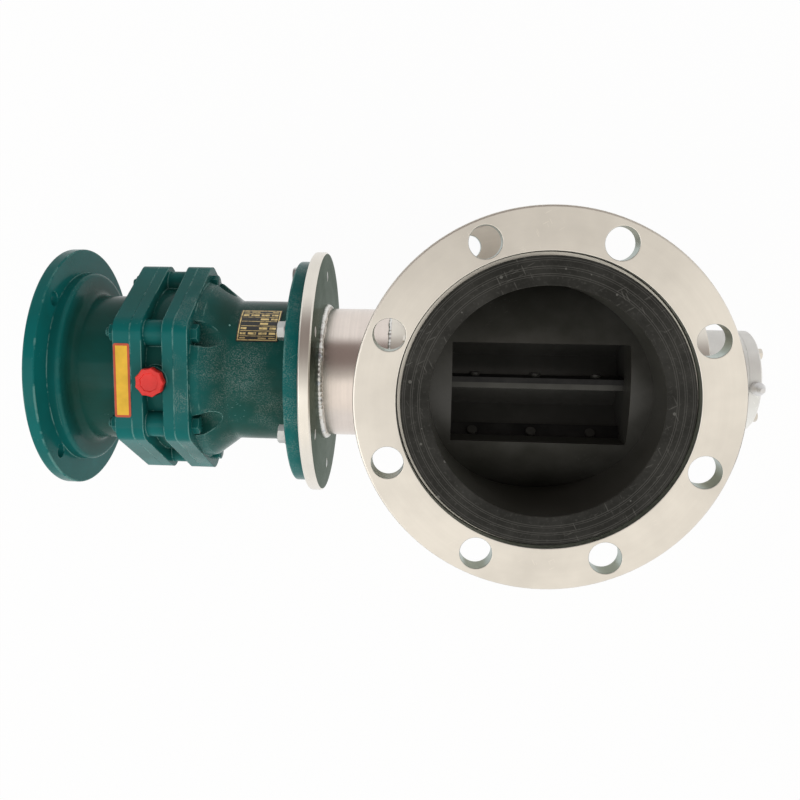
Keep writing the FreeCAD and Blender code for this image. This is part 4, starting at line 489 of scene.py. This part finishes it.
def plastic(name, tint, rough, coat):
    """Moulded or printed plastic with faint rubbing."""
    graph, shader, place = start_material(name)
    clouds = graph.noise(place, 60.0, 3, 0.6)
    marks = graph.effect("scratches", place, Scale=600.0, Width=0.15, Amount=0.46)
    base = graph.mix(graph.spread(clouds, 0.35, 0.7), tint, shade(tint, 0.82))
    rubbed = tuple(0.6 * part + 0.3 for part in tint)
    graph.end(shader, {
        "Base Color": graph.mix(graph.times(marks, 0.25), base, rubbed),
        "Roughness": graph.spread(clouds, 0.3, 0.7, rough, rough + 0.1),
        "Specular IOR Level": 0.25, "Coat Weight": coat,
        "Normal": graph.bump(graph.noise(place, 700.0, 2), 0.00004)})


def printed_plate(name, colours, size, frame_width, rows):
    """The bare nameplate: gold frame, ruled rows and plain bars on black, laid out on its own map."""
    graph, shader, place = start_material(name)
    apart = graph.parts(graph.add("UVMap", uv_map="plate"))
    long, high = size
    from_left, from_below = apart["X"], apart["Y"]

    def between(value, least, most):
        return graph.times(graph.math("GREATER_THAN", value, least), graph.math("LESS_THAN", value, most))

    def within(gap):
        return graph.times(between(from_left, gap, long - gap), between(from_below, gap, high - gap))
    frame_line = graph.math("SUBTRACT", within(frame_width), within(2 * frame_width))
    lines_down = graph.math("DIVIDE", from_below, high / rows)
    columns = graph.math("DIVIDE", from_left, long / 4)
    ruled = graph.math("LESS_THAN", graph.math("PINGPONG", lines_down, 0.5), 0.05)
    field = graph.add("CombineXYZ", {"X": graph.math("FLOOR", columns),
                                     "Y": graph.math("FLOOR", lines_down)})
    chance = graph.add("TexWhiteNoise", {"Vector": field})
    filled = graph.math("GREATER_THAN", chance.outputs["Value"], 0.38)
    in_row = between(graph.math("FRACT", lines_down), 0.30, 0.72)
    in_column = between(graph.math("FRACT", columns), 0.08, 0.86)
    bars = graph.times(filled, graph.times(in_row, in_column))
    gold = graph.most(graph.times(graph.most(ruled, bars), within(3 * frame_width)), frame_line)
    shown = graph.times(gold, graph.spread(graph.noise(place, 260.0, 3, 0.6), 0.26, 0.48))
    marks = graph.effect("scratches", place, Scale=600.0, Width=0.15, Amount=0.5)
    base = graph.mix(shown, colours.plate_black, colours.gold)
    graph.end(shader, {
        "Base Color": graph.mix(graph.times(marks, 0.2), base, colours.dust),
        "Metallic": graph.times(shown, 0.7),
        "Roughness": graph.spread(shown, 0, 1, 0.34, 0.3),
        "Normal": graph.bump(shown, 0.00005, 0.4)})


def rays_that_see(graph):
    """1 for camera, mirror and glass rays, 0 for the rays that only light the object."""
    rays = graph.add("LightPath").outputs
    return graph.most(rays["Is Camera Ray"], rays["Is Glossy Ray"], rays["Is Transmission Ray"])


def floor_material(tint, glow):
    """A white floor: it keeps a soft shadow, and eyes and mirrors see it white."""
    material = bpy.data.materials.new("floor white")
    graph = clean_graph(material)
    soft = graph.add("BsdfDiffuse", {"Color": tint})
    white = graph.add("Emission", {"Color": (1, 1, 1), "Strength": 1.0})
    whole = graph.add("MixShader", {0: graph.times(rays_that_see(graph), glow), 1: soft, 2: white})
    graph.end(graph.add("OutputMaterial"), {"Surface": whole})
    return material


def make_materials(sizes, colours):
    """Every finish of the valve, by name."""
    fine, casting = sizes.edge_round, sizes.casting_round
    metal("turned flange", colours.stainless, 0.36, upright=True, rings=1400.0)
    # Bolt-hole walls: painted shade and painted green reflection
    metal("hole wall painted shade", colours.hole_wall_painted_shade, 0.30, rings=1500.0)
    metal("rolled body", colours.stainless, 0.40, rings=500.0, scratched=0.46, mottled=0.07, rounding=fine)
    metal("polished pipe", colours.pipe, 0.22, rings=700.0, depth=0.000006, mottled=0.07)
    metal("turned cover", colours.stainless, 0.34, rings=1100.0)
    metal("turned rim", shade(colours.stainless, 1.06), 0.26, rings=1200.0)
    # Painted reflection: dark green colour and green edge tint for the plate's faces across the rotor
    metal("plate face painted reflection", colours.plate_face_painted_reflection, 0.20, rings=260.0, depth=0.000004, scratched=0.5, mottled=0.22,
          edge_tint=(0.30, 0.34, 0.30))
    metal("pale turned steel", colours.far_steel, 0.45, rings=1300.0, bare=0.35)
    metal("stainless bolts", shade(colours.stainless, 0.92), 0.30, rings=1500.0, scratched=0.5)
    metal("zinc bolts", colours.zinc, 0.36, scratched=0.52, mottled=0.24)
    metal("turned shaft steel", colours.dark_steel, 0.34, rings=1000.0, rounding=fine)
    metal("ground steel", colours.bright_steel, 0.16, rings=1800.0, depth=0.000004)
    metal("fitting steel", shade(colours.bright_steel, 1.3), 0.34, upright=True, rings=2400.0, bare=0.6)
    weld_metal("weld metal", colours.weld)
    paint("gloss paint", colours, casting)
    # The rotor's steel is given a very dark colour and a dark edge tint
    metal("very dark rotor steel", colours.blackened, 0.38, rings=800.0, mottled=0.3, rounding=fine,
          edge_tint=(0.3, 0.3, 0.3), bare=0.3)
    paint("dusty paint", colours, casting, dusty=0.42)
    paint("painted bolts", colours, sizes.fine_round, edge_wear_and_highlight=0.85)
    low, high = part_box("inlet_liner")
    collar = (high.x - low.x) / 2
    moulded("moulded lining", colours.lining, colours.scuffed, 0.50, 0.5,
            grooves=(collar - 0.003, collar - 0.0097, collar - 0.016), nicked=0.10)
    # Painted light: lighter copies of the black lining for the port floors and barrel, and for the sleeve
    # walls, where little light reaches
    moulded("inner lining painted light", shade(colours.lining, 2.2), colours.scuffed, 0.30, 0.40, gloss=0.5)
    moulded("sleeve lining painted light", shade(colours.lining, 2.9), colours.scuffed, 0.40, 0.40, gloss=0.3)
    moulded("seal rubber", colours.rubber, colours.scuffed, 0.55, 0.36)
    plastic("red plastic", colours.red, 0.32, 0.15)
    plastic("label yellow", colours.yellow, 0.40, 0.0)
    plastic("label orange", colours.orange, 0.40, 0.0)


# Shapes

def merged_mesh(node):
    """A CAD node's loose triangles, joined at their corners."""
    bm = bmesh.new()
    bm.from_mesh(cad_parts[node].data)
    bmesh.ops.remove_doubles(bm, verts=bm.verts, dist=SAME_POINT)
    return bm


def solids_of(node):
    """The corner points of each separate solid of a CAD node."""
    bm = merged_mesh(node)
    solids, seen = [], set()
    for start in bm.verts:
        if start in seen:
            continue
        seen.add(start)
        waiting, points = [start], []
        while waiting:
            vert = waiting.pop()
            points.append(vert.co.copy())
            for edge in vert.link_edges:
                other = edge.other_vert(vert)
                if other not in seen:
                    seen.add(other)
                    waiting.append(other)
        solids.append(points)
    bm.free()
    return solids


def points_of(node):
    return [point for solid in solids_of(node) for point in solid]


def box_of(points):
    """The lowest and the highest corner round some points."""
    axes = list(zip(*points))
    return Vector([min(axis) for axis in axes]), Vector([max(axis) for axis in axes])


def smooth_between_edges(bm):
    """Smooth faces, with every edge that turns more than a little kept sharp."""
    for face in bm.faces:
        face.smooth = True
    for edge in bm.edges:
        edge.smooth = edge.is_manifold and edge.calc_face_angle() < SHARP


def put_in_scene(name, data, place=(0, 0, 0), turn=(0, 0, 0)):
    item = bpy.data.objects.new(name, data)
    item.location, item.rotation_euler = place, turn
    bpy.context.scene.collection.objects.link(item)
    return item


def add_piece(name, bm, node, materials, body="valve", rounding=0.0):
    """Makes a piece from a bmesh, in place of a CAD node, riding on a body."""
    mesh = bpy.data.meshes.new(name)
    smooth_between_edges(bm)
    bm.to_mesh(mesh)
    bm.free()
    if "custom_normal" in mesh.attributes:
        mesh.attributes.remove(mesh.attributes["custom_normal"])
    for material in materials:
        mesh.materials.append(bpy.data.materials[material])
    piece = put_in_scene(name, mesh)
    if rounding:
        edges = piece.modifiers.new("rounded edges", "BEVEL")
        edges.width = rounding
        edges.segments = 2
        edges.limit_method = "ANGLE"
        edges.angle_limit = SHARP
        edges.harden_normals = True
    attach(piece, body)
    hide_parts(node)


def add_made(name, bm, node, *materials):
    """Adds a piece that was made here, once its faces are turned outward."""
    bmesh.ops.recalc_face_normals(bm, faces=bm.faces)
    add_piece(name, bm, node, materials)


def across_rotor(face):
    return abs(face.normal.x) > ACROSS_LEAST


def upright_wall(face):
    return abs(face.normal.z) < WALL_MOST


def bolt_hole(face):
    """The walls of a pipe flange's bolt holes, which lie between its socket and its rim."""
    return upright_wall(face) and SOCKET_REACH < face.calc_center_median().xy.length < FLANGE_REACH


def round_edges(material, width, *nodes, body="valve", other=None, chosen=across_rotor):
    """Copies CAD nodes with whole faces and rounded edges. The chosen faces get any other material."""
    for node in nodes:
        bm = merged_mesh(node)
        bmesh.ops.dissolve_limit(bm, angle_limit=FLAT_ENOUGH, verts=bm.verts, edges=bm.edges)
        for face in bm.faces:
            face.material_index = int(other is not None and chosen(face))
        add_piece(node + "_dressed", bm, node, [material, other] if other else [material], body, width)


def finish(material, *nodes):
    """Gives a material to CAD nodes that keep their own mesh."""
    for node in nodes:
        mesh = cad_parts[node].data
        mesh.materials.clear()
        mesh.materials.append(bpy.data.materials[material])


class Fastener:
    """Where a hexagon bolt or nut along X sits and how large it is, read from its CAD points."""

    def __init__(self, points):
        low, high = box_of(points)
        self.low, self.high = low.x, high.x
        self.across, self.up = (low.y + high.y) / 2, (low.z + high.z) / 2

        def reach(point):
            return math.hypot(point.y - self.across, point.z - self.up)
        self.corner = max(map(reach, points))
        self.shank = min(map(reach, points))
        head = [point.x for point in points if reach(point) > HEAD_REACH * self.corner]
        self.head_low, self.head_high = min(head), max(head)


def raised(bm, face, closed=False):
    """Extrudes a face in place and gives the new one. The old one stays only where it closes the solid."""
    fresh = bmesh.ops.extrude_face_region(bm, geom=[face])["geom"]
    new = next(item for item in fresh if isinstance(item, bmesh.types.BMFace)
               and len(item.verts) == len(face.verts))
    if not closed:
        bmesh.ops.delete(bm, geom=[face], context="FACES_ONLY")
    return new


def round_off(face, radius, height):
    """Puts a face's corners on a circle at this height."""
    for vert in face.verts:
        vert.co = Vector((*(vert.co.xy.normalized() * radius), height))


def hexagon(bm, corner, high, slope, bore=0.0):
    """A hexagon of this height on the XY plane, its upper corners turned off at a slope."""
    bmesh.ops.create_circle(bm, cap_ends=True, segments=6, radius=corner)
    bmesh.ops.subdivide_edges(bm, edges=bm.edges[:], cuts=3)
    base = next(iter(bm.faces))
    top = raised(bm, base, closed=True)
    flat = FLAT_SHARE * corner * math.cos(math.pi / 6)
    for vert in top.verts:
        vert.co.z = high - max(0.0, vert.co.xy.length - flat) * math.tan(slope)
    cap = raised(bm, top)
    round_off(cap, flat, high)
    if bore:
        mouths = [raised(bm, cap), raised(bm, base)]
        round_off(mouths[0], bore, high)
        round_off(mouths[1], bore, 0)
        loops = [edge for face in mouths for edge in face.edges]
        bmesh.ops.delete(bm, geom=mouths, context="FACES_ONLY")
        bmesh.ops.bridge_loops(bm, edges=loops)


def spun(bm, outline, steps=ROUND_STEPS):
    """Turns a closed outline of (radius, height) points once round the Z axis."""
    verts = [bm.verts.new((radius, 0, height)) for radius, height in outline]
    edges = [bm.edges.new((verts[number - 1], verts[number])) for number in range(1, len(verts))]
    bmesh.ops.spin(bm, geom=verts + edges, cent=(0, 0, 0), axis=(0, 0, 1), angle=2 * math.pi,
                   steps=steps, use_merge=True)


def shank(bm, radius, long, pitch, threaded):
    """A bolt's shank down from the XY plane, with thread rings over its last stretch."""
    outline = [(0, 0), (radius, 0)]
    for turn in range(round(threaded / pitch)):
        down = long - threaded + turn * pitch
        outline += [(radius, -down), (radius - THREAD_DEPTH * pitch, -down - 0.5 * pitch)]
    if not threaded:
        outline.append((radius, 0.5 * pitch - long))
    spun(bm, outline + [(radius - 0.5 * pitch, -long), (0, -long)])


def place_along_x(bm, fastener, start, outward, turn):
    """Moves a shape built up the Z axis on to a fastener's line, from station start."""
    stand = Matrix.Rotation(outward * math.pi / 2, 4, "Y") @ Matrix.Rotation(turn, 4, "Z")
    spot = Matrix.Translation((start, fastener.across, fastener.up))
    bmesh.ops.transform(bm, matrix=spot @ stand, verts=bm.verts)


def join(whole, part):
    """Adds one bmesh to another and frees it."""
    carried = bpy.data.meshes.new("carried")
    part.to_mesh(carried)
    part.free()
    whole.from_mesh(carried)
    bpy.data.meshes.remove(carried)


def make_fasteners(node, material, sizes, outward, threaded=None):
    """New bolts for a node, or nuts where threaded is None. They face outward, -1 or +1 along X."""
    chance = random.Random(node)
    whole = bmesh.new()
    nuts = threaded is None
    for points in solids_of(node):
        found = Fastener(points)
        low, high = (found.low, found.high) if nuts else (found.head_low, found.head_high)
        one = bmesh.new()
        hexagon(one, found.corner, high - low, sizes.bolt_chamfer, found.shank if nuts else 0.0)
        if not nuts:
            shank(one, found.shank, found.high - found.low - (high - low), sizes.thread_pitch, threaded)
        place_along_x(one, found, low if outward > 0 else high, outward, chance.uniform(0, math.pi / 3))
        join(whole, one)
    add_made(node + "_turned", whole, node, material)


def lay_bead(points, sizes, chance):
    """One fillet bead, rippled as it was laid, in the place of its plain CAD ring."""
    lows, highs = box_of(points)
    size = highs - lows
    upright = size.z < size.x
    leg, outer = (size.z, size.x / 2) if upright else (size.x, size.z / 2)
    centre = Vector((0, 0, 0 if upright else AXIS_HIGH))
    along = 2 if upright else 0
    widest = max(points, key=lambda point: (point - centre).length_squared - (point - centre)[along] ** 2)
    face, tube = widest[along], outer - leg
    bm = bmesh.new()
    laid = leg * sizes.weld_size
    quarter = [math.pi / 2 * step / BEAD_STEPS for step in range(BEAD_STEPS + 1)]
    curve = [(tube + laid * math.sin(turn) ** BEAD_POWER, laid * math.cos(turn) ** BEAD_POWER)
             for turn in quarter]
    outline = [(tube, 0)] + curve + [(tube, 0)]
    ripples = round(2 * math.pi * tube / sizes.weld_pitch)
    spun(bm, outline, steps=ripples * RIPPLE_STEPS)
    bmesh.ops.remove_doubles(bm, verts=bm.verts, dist=SAME_POINT)
    start = chance.uniform(0, 100)
    for vert in bm.verts:
        radius = vert.co.xy.length
        out = (radius - tube) / leg
        off = vert.co.z / leg
        if out + off < BEAD_CORNER:
            continue
        angle = math.atan2(vert.co.y, vert.co.x)
        lag = RIPPLE_LAG * (1 - abs(out - off))
        scallop = 1 - abs(math.sin(ripples * angle / 2 + lag))
        spot = Vector((WANDERS * math.cos(angle), WANDERS * math.sin(angle), start))
        uneven = noise.noise(spot) + 0.6 * noise.noise(spot * 4)
        lift = sizes.weld_ripple * (scallop - RIPPLE_MEAN) + sizes.weld_wander * uneven
        strength = min(1.0, 2 * (out + off))
        flow = Vector((vert.co.x / radius * out, vert.co.y / radius * out, off)).normalized()
        vert.co += flow * lift * strength
        vert.co.z = max(vert.co.z, 0)
    if lows[along] + leg / 2 <= face:
        bmesh.ops.scale(bm, vec=(1, 1, -1), verts=bm.verts)
    stand = Matrix.Identity(4) if upright else Matrix.Rotation(math.pi / 2, 4, "Y")
    centre[along] = face
    bmesh.ops.transform(bm, matrix=Matrix.Translation(centre) @ stand, verts=bm.verts)
    return bm


# Operators

class VALVE_OT_finishes(Operator):
    """Make the shared effects and every material"""
    bl_idname = "valve.finishes"
    bl_label = "Finishes"

    def execute(self, context):
        sizes = context.scene.valve_sizes
        for make_effect in (effect_turning_lines, effect_scratches, effect_specks, effect_cast_skin,
                            effect_worn_and_highlit_edges):
            make_effect()
        make_materials(sizes, context.scene.valve_colours)
        return {"FINISHED"}


class VALVE_OT_flanges(Operator):
    """Round the rims and bolt holes of both pipe flanges"""
    bl_idname = "valve.flanges"
    bl_label = "Pipe flanges"

    def execute(self, context):
        sizes = context.scene.valve_sizes
        # The bolt-hole walls get the painted shade
        round_edges("turned flange", sizes.edge_round, "inlet_flange", "outlet_flange",
                    other="hole wall painted shade", chosen=bolt_hole)
        return {"FINISHED"}


class VALVE_OT_body(Operator):
    """Finish the barrel and necks and round the covers, pipes, plates and housings round the rotor"""
    bl_idname = "valve.body"
    bl_label = "Valve body"

    def execute(self, context):
        sizes = context.scene.valve_sizes
        finish("rolled body", "rotor_barrel", "inlet_neck", "outlet_neck")
        round_edges("turned cover", sizes.edge_round, "drive_end_cover", "far_end_cover",
                    "far_bearing_bracket")
        round_edges("polished pipe", 0.0, "connecting_stub")
        # The faces across the rotor get the dark green painted reflection
        round_edges("turned rim", sizes.edge_round, "mounting_plate", other="plate face painted reflection")
        round_edges("pale turned steel", sizes.edge_round, "far_bearing_housing", "far_bearing_cap")
        finish("seal rubber", "end_cover_gaskets")
        return {"FINISHED"}


class VALVE_OT_welds(Operator):
    """Lay the rippled weld beads"""
    bl_idname = "valve.welds"
    bl_label = "Weld beads"

    def execute(self, context):
        sizes = context.scene.valve_sizes
        chance = random.Random(BEAD_SEED)
        whole = bmesh.new()
        for points in solids_of("weld_beads"):
            join(whole, lay_bead(points, sizes, chance))
        add_made("weld_beads_laid", whole, "weld_beads", "weld metal")
        return {"FINISHED"}


class VALVE_OT_linings(Operator):
    """Round and finish the black linings"""
    bl_idname = "valve.linings"
    bl_label = "Linings"

    def execute(self, context):
        sizes = context.scene.valve_sizes
        # The sleeve walls get a lighter copy of the lining, painted light
        round_edges("moulded lining", sizes.liner_round, "inlet_liner", "outlet_liner",
                    other="sleeve lining painted light", chosen=upright_wall)
        finish("inner lining painted light", "port_linings", "barrel_liner")
        return {"FINISHED"}


class VALVE_OT_rotor(Operator):
    """Finish the rotor, its wearing strips, shaft and coupling"""
    bl_idname = "valve.rotor"
    bl_label = "Rotor"

    def execute(self, context):
        sizes = context.scene.valve_sizes
        round_edges("seal rubber", sizes.edge_round, "vane_tip_strips", body="rotor")
        round_edges("turned shaft steel", sizes.edge_round, "shaft_coupling", body="rotor")
        finish("very dark rotor steel", "rotor_vanes", "rotor_end_discs", "tip_strip_screws")
        finish("turned shaft steel", "rotor_shaft", "coupling_keys", "output_shaft",
               "shaft_retaining_ring")
        return {"FINISHED"}


class VALVE_OT_castings(Operator):
    """Paint the reducer's castings and the motor adapter"""
    bl_idname = "valve.castings"
    bl_label = "Painted castings"

    def execute(self, context):
        finish("dusty paint", "output_housing")
        finish("gloss paint", "pin_gear_ring", "motor_flange_adapter")
        return {"FINISHED"}


class VALVE_OT_fasteners(Operator):
    """Make the bolts, nuts and washers with turned hexagon heads"""
    bl_idname = "valve.fasteners"
    bl_label = "Bolts and nuts"

    def execute(self, context):
        sizes = context.scene.valve_sizes
        make_fasteners("plate_bolts", "zinc bolts", sizes, -1, 0.0)
        make_fasteners("case_bolts", "painted bolts", sizes, 1, CASE_THREADS * sizes.thread_pitch)
        make_fasteners("case_nuts", "painted bolts", sizes, -1)
        make_fasteners("bearing_cap_screws", "stainless bolts", sizes, 1, 0.0)
        round_edges("zinc bolts", sizes.fine_round, "plate_bolt_washers")
        finish("stainless bolts", "end_cover_bolts")
        return {"FINISHED"}


class VALVE_OT_fittings(Operator):
    """Make the filler plug and round the drain plug, the sealing rings and the grease nipple"""
    bl_idname = "valve.fittings"
    bl_label = "Plugs and nipple"

    def execute(self, context):
        sizes = context.scene.valve_sizes
        make_filler_plug(sizes)
        round_edges("zinc bolts", sizes.fine_round, "oil_drain_plug")
        round_edges("seal rubber", sizes.fine_round, "plug_sealing_rings")
        round_edges("fitting steel", sizes.fine_round, "grease_nipple")
        finish("seal rubber", "shaft_seals")
        return {"FINISHED"}


def make_filler_plug(sizes):
    """The filler plug: a grip with points round it and a hollowed top, on its own threaded end."""
    points = points_of("oil_filler_plug")
    low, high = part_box("oil_filler_plug")
    centre = (low + high) / 2
    reach = [math.hypot(point.x - centre.x, point.y - centre.y) for point in points]
    corner = max(reach)
    seat = min(point.z for point, away in zip(points, reach) if away > GRIP_REACH * corner)
    bm = bmesh.new()
    bmesh.ops.create_circle(bm, cap_ends=True, segments=POINT_STEPS * sizes.plug_points, radius=corner)
    base = face = next(iter(bm.faces))
    tall = high.z - seat
    for share, height in GRIP_OUTLINE:
        if height:
            face = raised(bm, face, closed=face is base)
        for vert in face.verts:
            angle = math.atan2(vert.co.y, vert.co.x)
            scallop = sizes.plug_scallop * abs(math.sin(sizes.plug_points * angle / 2))
            radius = (corner - scallop) * share
            vert.co = Vector((radius * math.cos(angle), radius * math.sin(angle), tall * height))
    end = bmesh.new()
    shank(end, min(away for away in reach if away > CENTRE_REACH * corner), seat - low.z,
          sizes.thread_pitch, PLUG_THREADS * sizes.thread_pitch)
    join(bm, end)
    bmesh.ops.translate(bm, vec=(centre.x, centre.y, seat), verts=bm.verts)
    add_made("oil_filler_plug_grip", bm, "oil_filler_plug", "red plastic")


class VALVE_OT_plates(Operator):
    """Make the bare nameplate and the bare rim label"""
    bl_idname = "valve.plates"
    bl_label = "Nameplate and label"

    def execute(self, context):
        sizes = context.scene.valve_sizes
        make_nameplate(sizes, context.scene.valve_colours)
        make_label(sizes)
        return {"FINISHED"}


def make_nameplate(sizes, colours):
    """A thin plate bent round the housing, with its flat layout kept as a map."""
    points = points_of("nameplate")
    reach = [math.hypot(point.y, point.z - AXIS_HIGH) for point in points]
    turns = [math.atan2(point.y, point.z - AXIS_HIGH) for point in points]
    outer, last = max(reach), max(turns)
    low, high = box_of(points)
    long, wide = high.x - low.x, (last - min(turns)) * outer
    bm = bmesh.new()
    bmesh.ops.create_grid(bm, x_segments=1, y_segments=PLATE_STEPS, size=0.5)
    corners = [vert for vert in bm.verts if len(vert.link_edges) == 2]
    layout = bm.loops.layers.uv.new("plate")
    for vert in bm.verts:
        vert.co = Vector(((vert.co.x + 0.5) * long, (vert.co.y + 0.5) * wide, 0))
    bmesh.ops.bevel(bm, geom=corners, affect="VERTICES", offset=PLATE_CORNER, segments=4, profile=0.5,
                    material=-1)
    for face in bm.faces:
        for loop in face.loops:
            loop[layout].uv = loop.vert.co.xy
    bmesh.ops.solidify(bm, geom=bm.faces, thickness=min(reach) - outer)
    top = max(vert.co.z for vert in bm.verts)
    for vert in bm.verts:
        radius = outer - (top - vert.co.z)
        angle = last + sizes.plate_turn - vert.co.y / outer
        vert.co = Vector((low.x + vert.co.x, radius * math.sin(angle),
                          AXIS_HIGH + radius * math.cos(angle)))
    printed_plate("printed nameplate", colours, (long, wide), sizes.plate_frame, sizes.plate_rows)
    add_made("nameplate_printed", bm, "nameplate", "printed nameplate")


def make_label(sizes):
    """A rounded label with a border and a bare field."""
    low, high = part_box("rim_label")
    bm = bmesh.new()
    bmesh.ops.create_grid(bm, x_segments=1, y_segments=1, size=0.5)
    bmesh.ops.scale(bm, vec=(high.x - low.x, high.y - low.y, 1), verts=bm.verts)
    bmesh.ops.translate(bm, vec=(*middle_of("rim_label").xy, high.z), verts=bm.verts)
    bmesh.ops.bevel(bm, geom=list(bm.verts), affect="VERTICES", offset=sizes.label_border, segments=5,
                    profile=0.5, material=-1)
    face = next(iter(bm.faces))
    side = bmesh.ops.extrude_face_region(bm, geom=[face], use_keep_orig=True)["geom"]
    lifted = [item for item in side if isinstance(item, bmesh.types.BMVert)]
    bmesh.ops.translate(bm, vec=(0, 0, low.z - high.z), verts=lifted)
    bmesh.ops.inset_region(bm, faces=[face], thickness=sizes.label_border, use_even_offset=True)
    face.material_index = 1
    add_made("rim_label_printed", bm, "rim_label", "label orange", "label yellow")


class VALVE_OT_inner_works(Operator):
    """Finish the lobed discs, pins, rollers, bearings and input shaft"""
    bl_idname = "valve.inner_works"
    bl_label = "Inner works"

    def execute(self, context):
        finish("ground steel", "cycloid_disc_a", "cycloid_disc_b", "eccentric_cam", "cam_rollers",
               "ring_pins", "output_pins", "output_pin_rollers", "rotor_bearing_outer_rings",
               "rotor_bearing_inner_rings", "rotor_bearing_rollers", "reducer_bearing_outer_rings",
               "output_bearing_inner_rings", "output_bearing_rollers", "input_bearing_inner_rings",
               "input_bearing_rollers")
        finish("turned shaft steel", "input_shaft", "eccentric_key")
        return {"FINISHED"}


class VALVE_OT_stage(Operator):
    """Make the floor, the light and the camera"""
    bl_idname = "valve.stage"
    bl_label = "Stage"

    def execute(self, context):
        settings = context.scene.valve_stage
        make_floor(context, settings)
        make_sky(context, settings)
        make_lamp(settings)
        make_camera(context, settings)
        context.scene.view_settings.view_transform = "Standard"
        return {"FINISHED"}


def make_floor(context, settings):
    bm = bmesh.new()
    bmesh.ops.create_grid(bm, x_segments=1, y_segments=1, size=settings.floor_size / 2)
    bmesh.ops.translate(bm, vec=(0, 0, frame_box[0][2] - settings.floor_gap), verts=bm.verts)
    mesh = bpy.data.meshes.new("floor")
    bm.to_mesh(mesh)
    bm.free()
    mesh.materials.append(floor_material(context.scene.valve_colours.floor, settings.floor_glow))
    put_in_scene("floor", mesh)


def make_sky(context, settings):
    """Room light that is duller above and behind. Eyes and mirrors see it white near the horizon."""
    world = bpy.data.worlds.new("room")
    graph = clean_graph(world)
    apart = graph.parts(graph.add("TexCoord").outputs["Generated"])
    lean = graph.times(apart["Y"], -0.8, graph.times(apart["X"], 0.45))
    dull = graph.mix(graph.spread(lean, -0.35, -0.05), settings.sky_dull, settings.sky_above)
    light = graph.mix(graph.spread(lean, -0.05, 0.10), dull, settings.sky_bright)
    room = graph.add("Background", {"Color": light, "Strength": settings.sky_level})
    white = graph.add("Background", {"Color": (1, 1, 1), "Strength": 1.0})
    seen = graph.times(rays_that_see(graph), graph.spread(apart["Z"], 0.30, 0.55, 1, 0))
    graph.end(graph.add("OutputWorld"), {"Surface": graph.add("MixShader", {0: seen, 1: room, 2: white})})
    context.scene.world = world


def make_lamp(settings):
    data = bpy.data.lights.new("soft lamp", "AREA")
    data.size = settings.lamp_size
    data.energy = settings.lamp_power
    aim = Vector((0, 0, AXIS_HIGH)) - Vector(settings.lamp_place)
    put_in_scene("soft lamp", data, settings.lamp_place, aim.to_track_quat("-Z", "Y").to_euler())


def make_camera(context, settings):
    data = bpy.data.cameras.new("photograph")
    data.sensor_width = SENSOR_WIDTH
    data.lens = settings.camera_lens
    data.shift_x, data.shift_y = settings.camera_shift
    context.scene.camera = put_in_scene("photograph", data, settings.camera_place, settings.camera_turn)


STEPS = (VALVE_OT_finishes, VALVE_OT_flanges, VALVE_OT_body, VALVE_OT_welds, VALVE_OT_linings,
         VALVE_OT_rotor, VALVE_OT_castings, VALVE_OT_fasteners, VALVE_OT_fittings, VALVE_OT_plates,
         VALVE_OT_inner_works, VALVE_OT_stage)


class VALVE_PT_steps(Panel):
    """The steps that dress the valve, in order"""
    bl_idname = "VALVE_PT_steps"
    bl_label = "Discharge valve"
    bl_space_type = "VIEW_3D"
    bl_region_type = "UI"
    bl_category = "Valve"

    def draw(self, context):
        for step in STEPS:
            self.layout.operator(step.bl_idname)


GROUPS = {"valve_sizes": ValveSizes, "valve_colours": ValveColours, "valve_stage": StageSettings}


def register():
    for kind in (*GROUPS.values(), *STEPS, VALVE_PT_steps):
        bpy.utils.register_class(kind)
    for name, kind in GROUPS.items():
        setattr(bpy.types.Scene, name, PointerProperty(type=kind))


def unregister():
    for name in GROUPS:
        delattr(bpy.types.Scene, name)
    for kind in reversed((*GROUPS.values(), *STEPS, VALVE_PT_steps)):
        bpy.utils.unregister_class(kind)


def main():
    register()
    for step in STEPS:
        family, name = step.bl_idname.split(".")
        getattr(getattr(bpy.ops, family), name)()


if __name__ == "__main__":
    main()
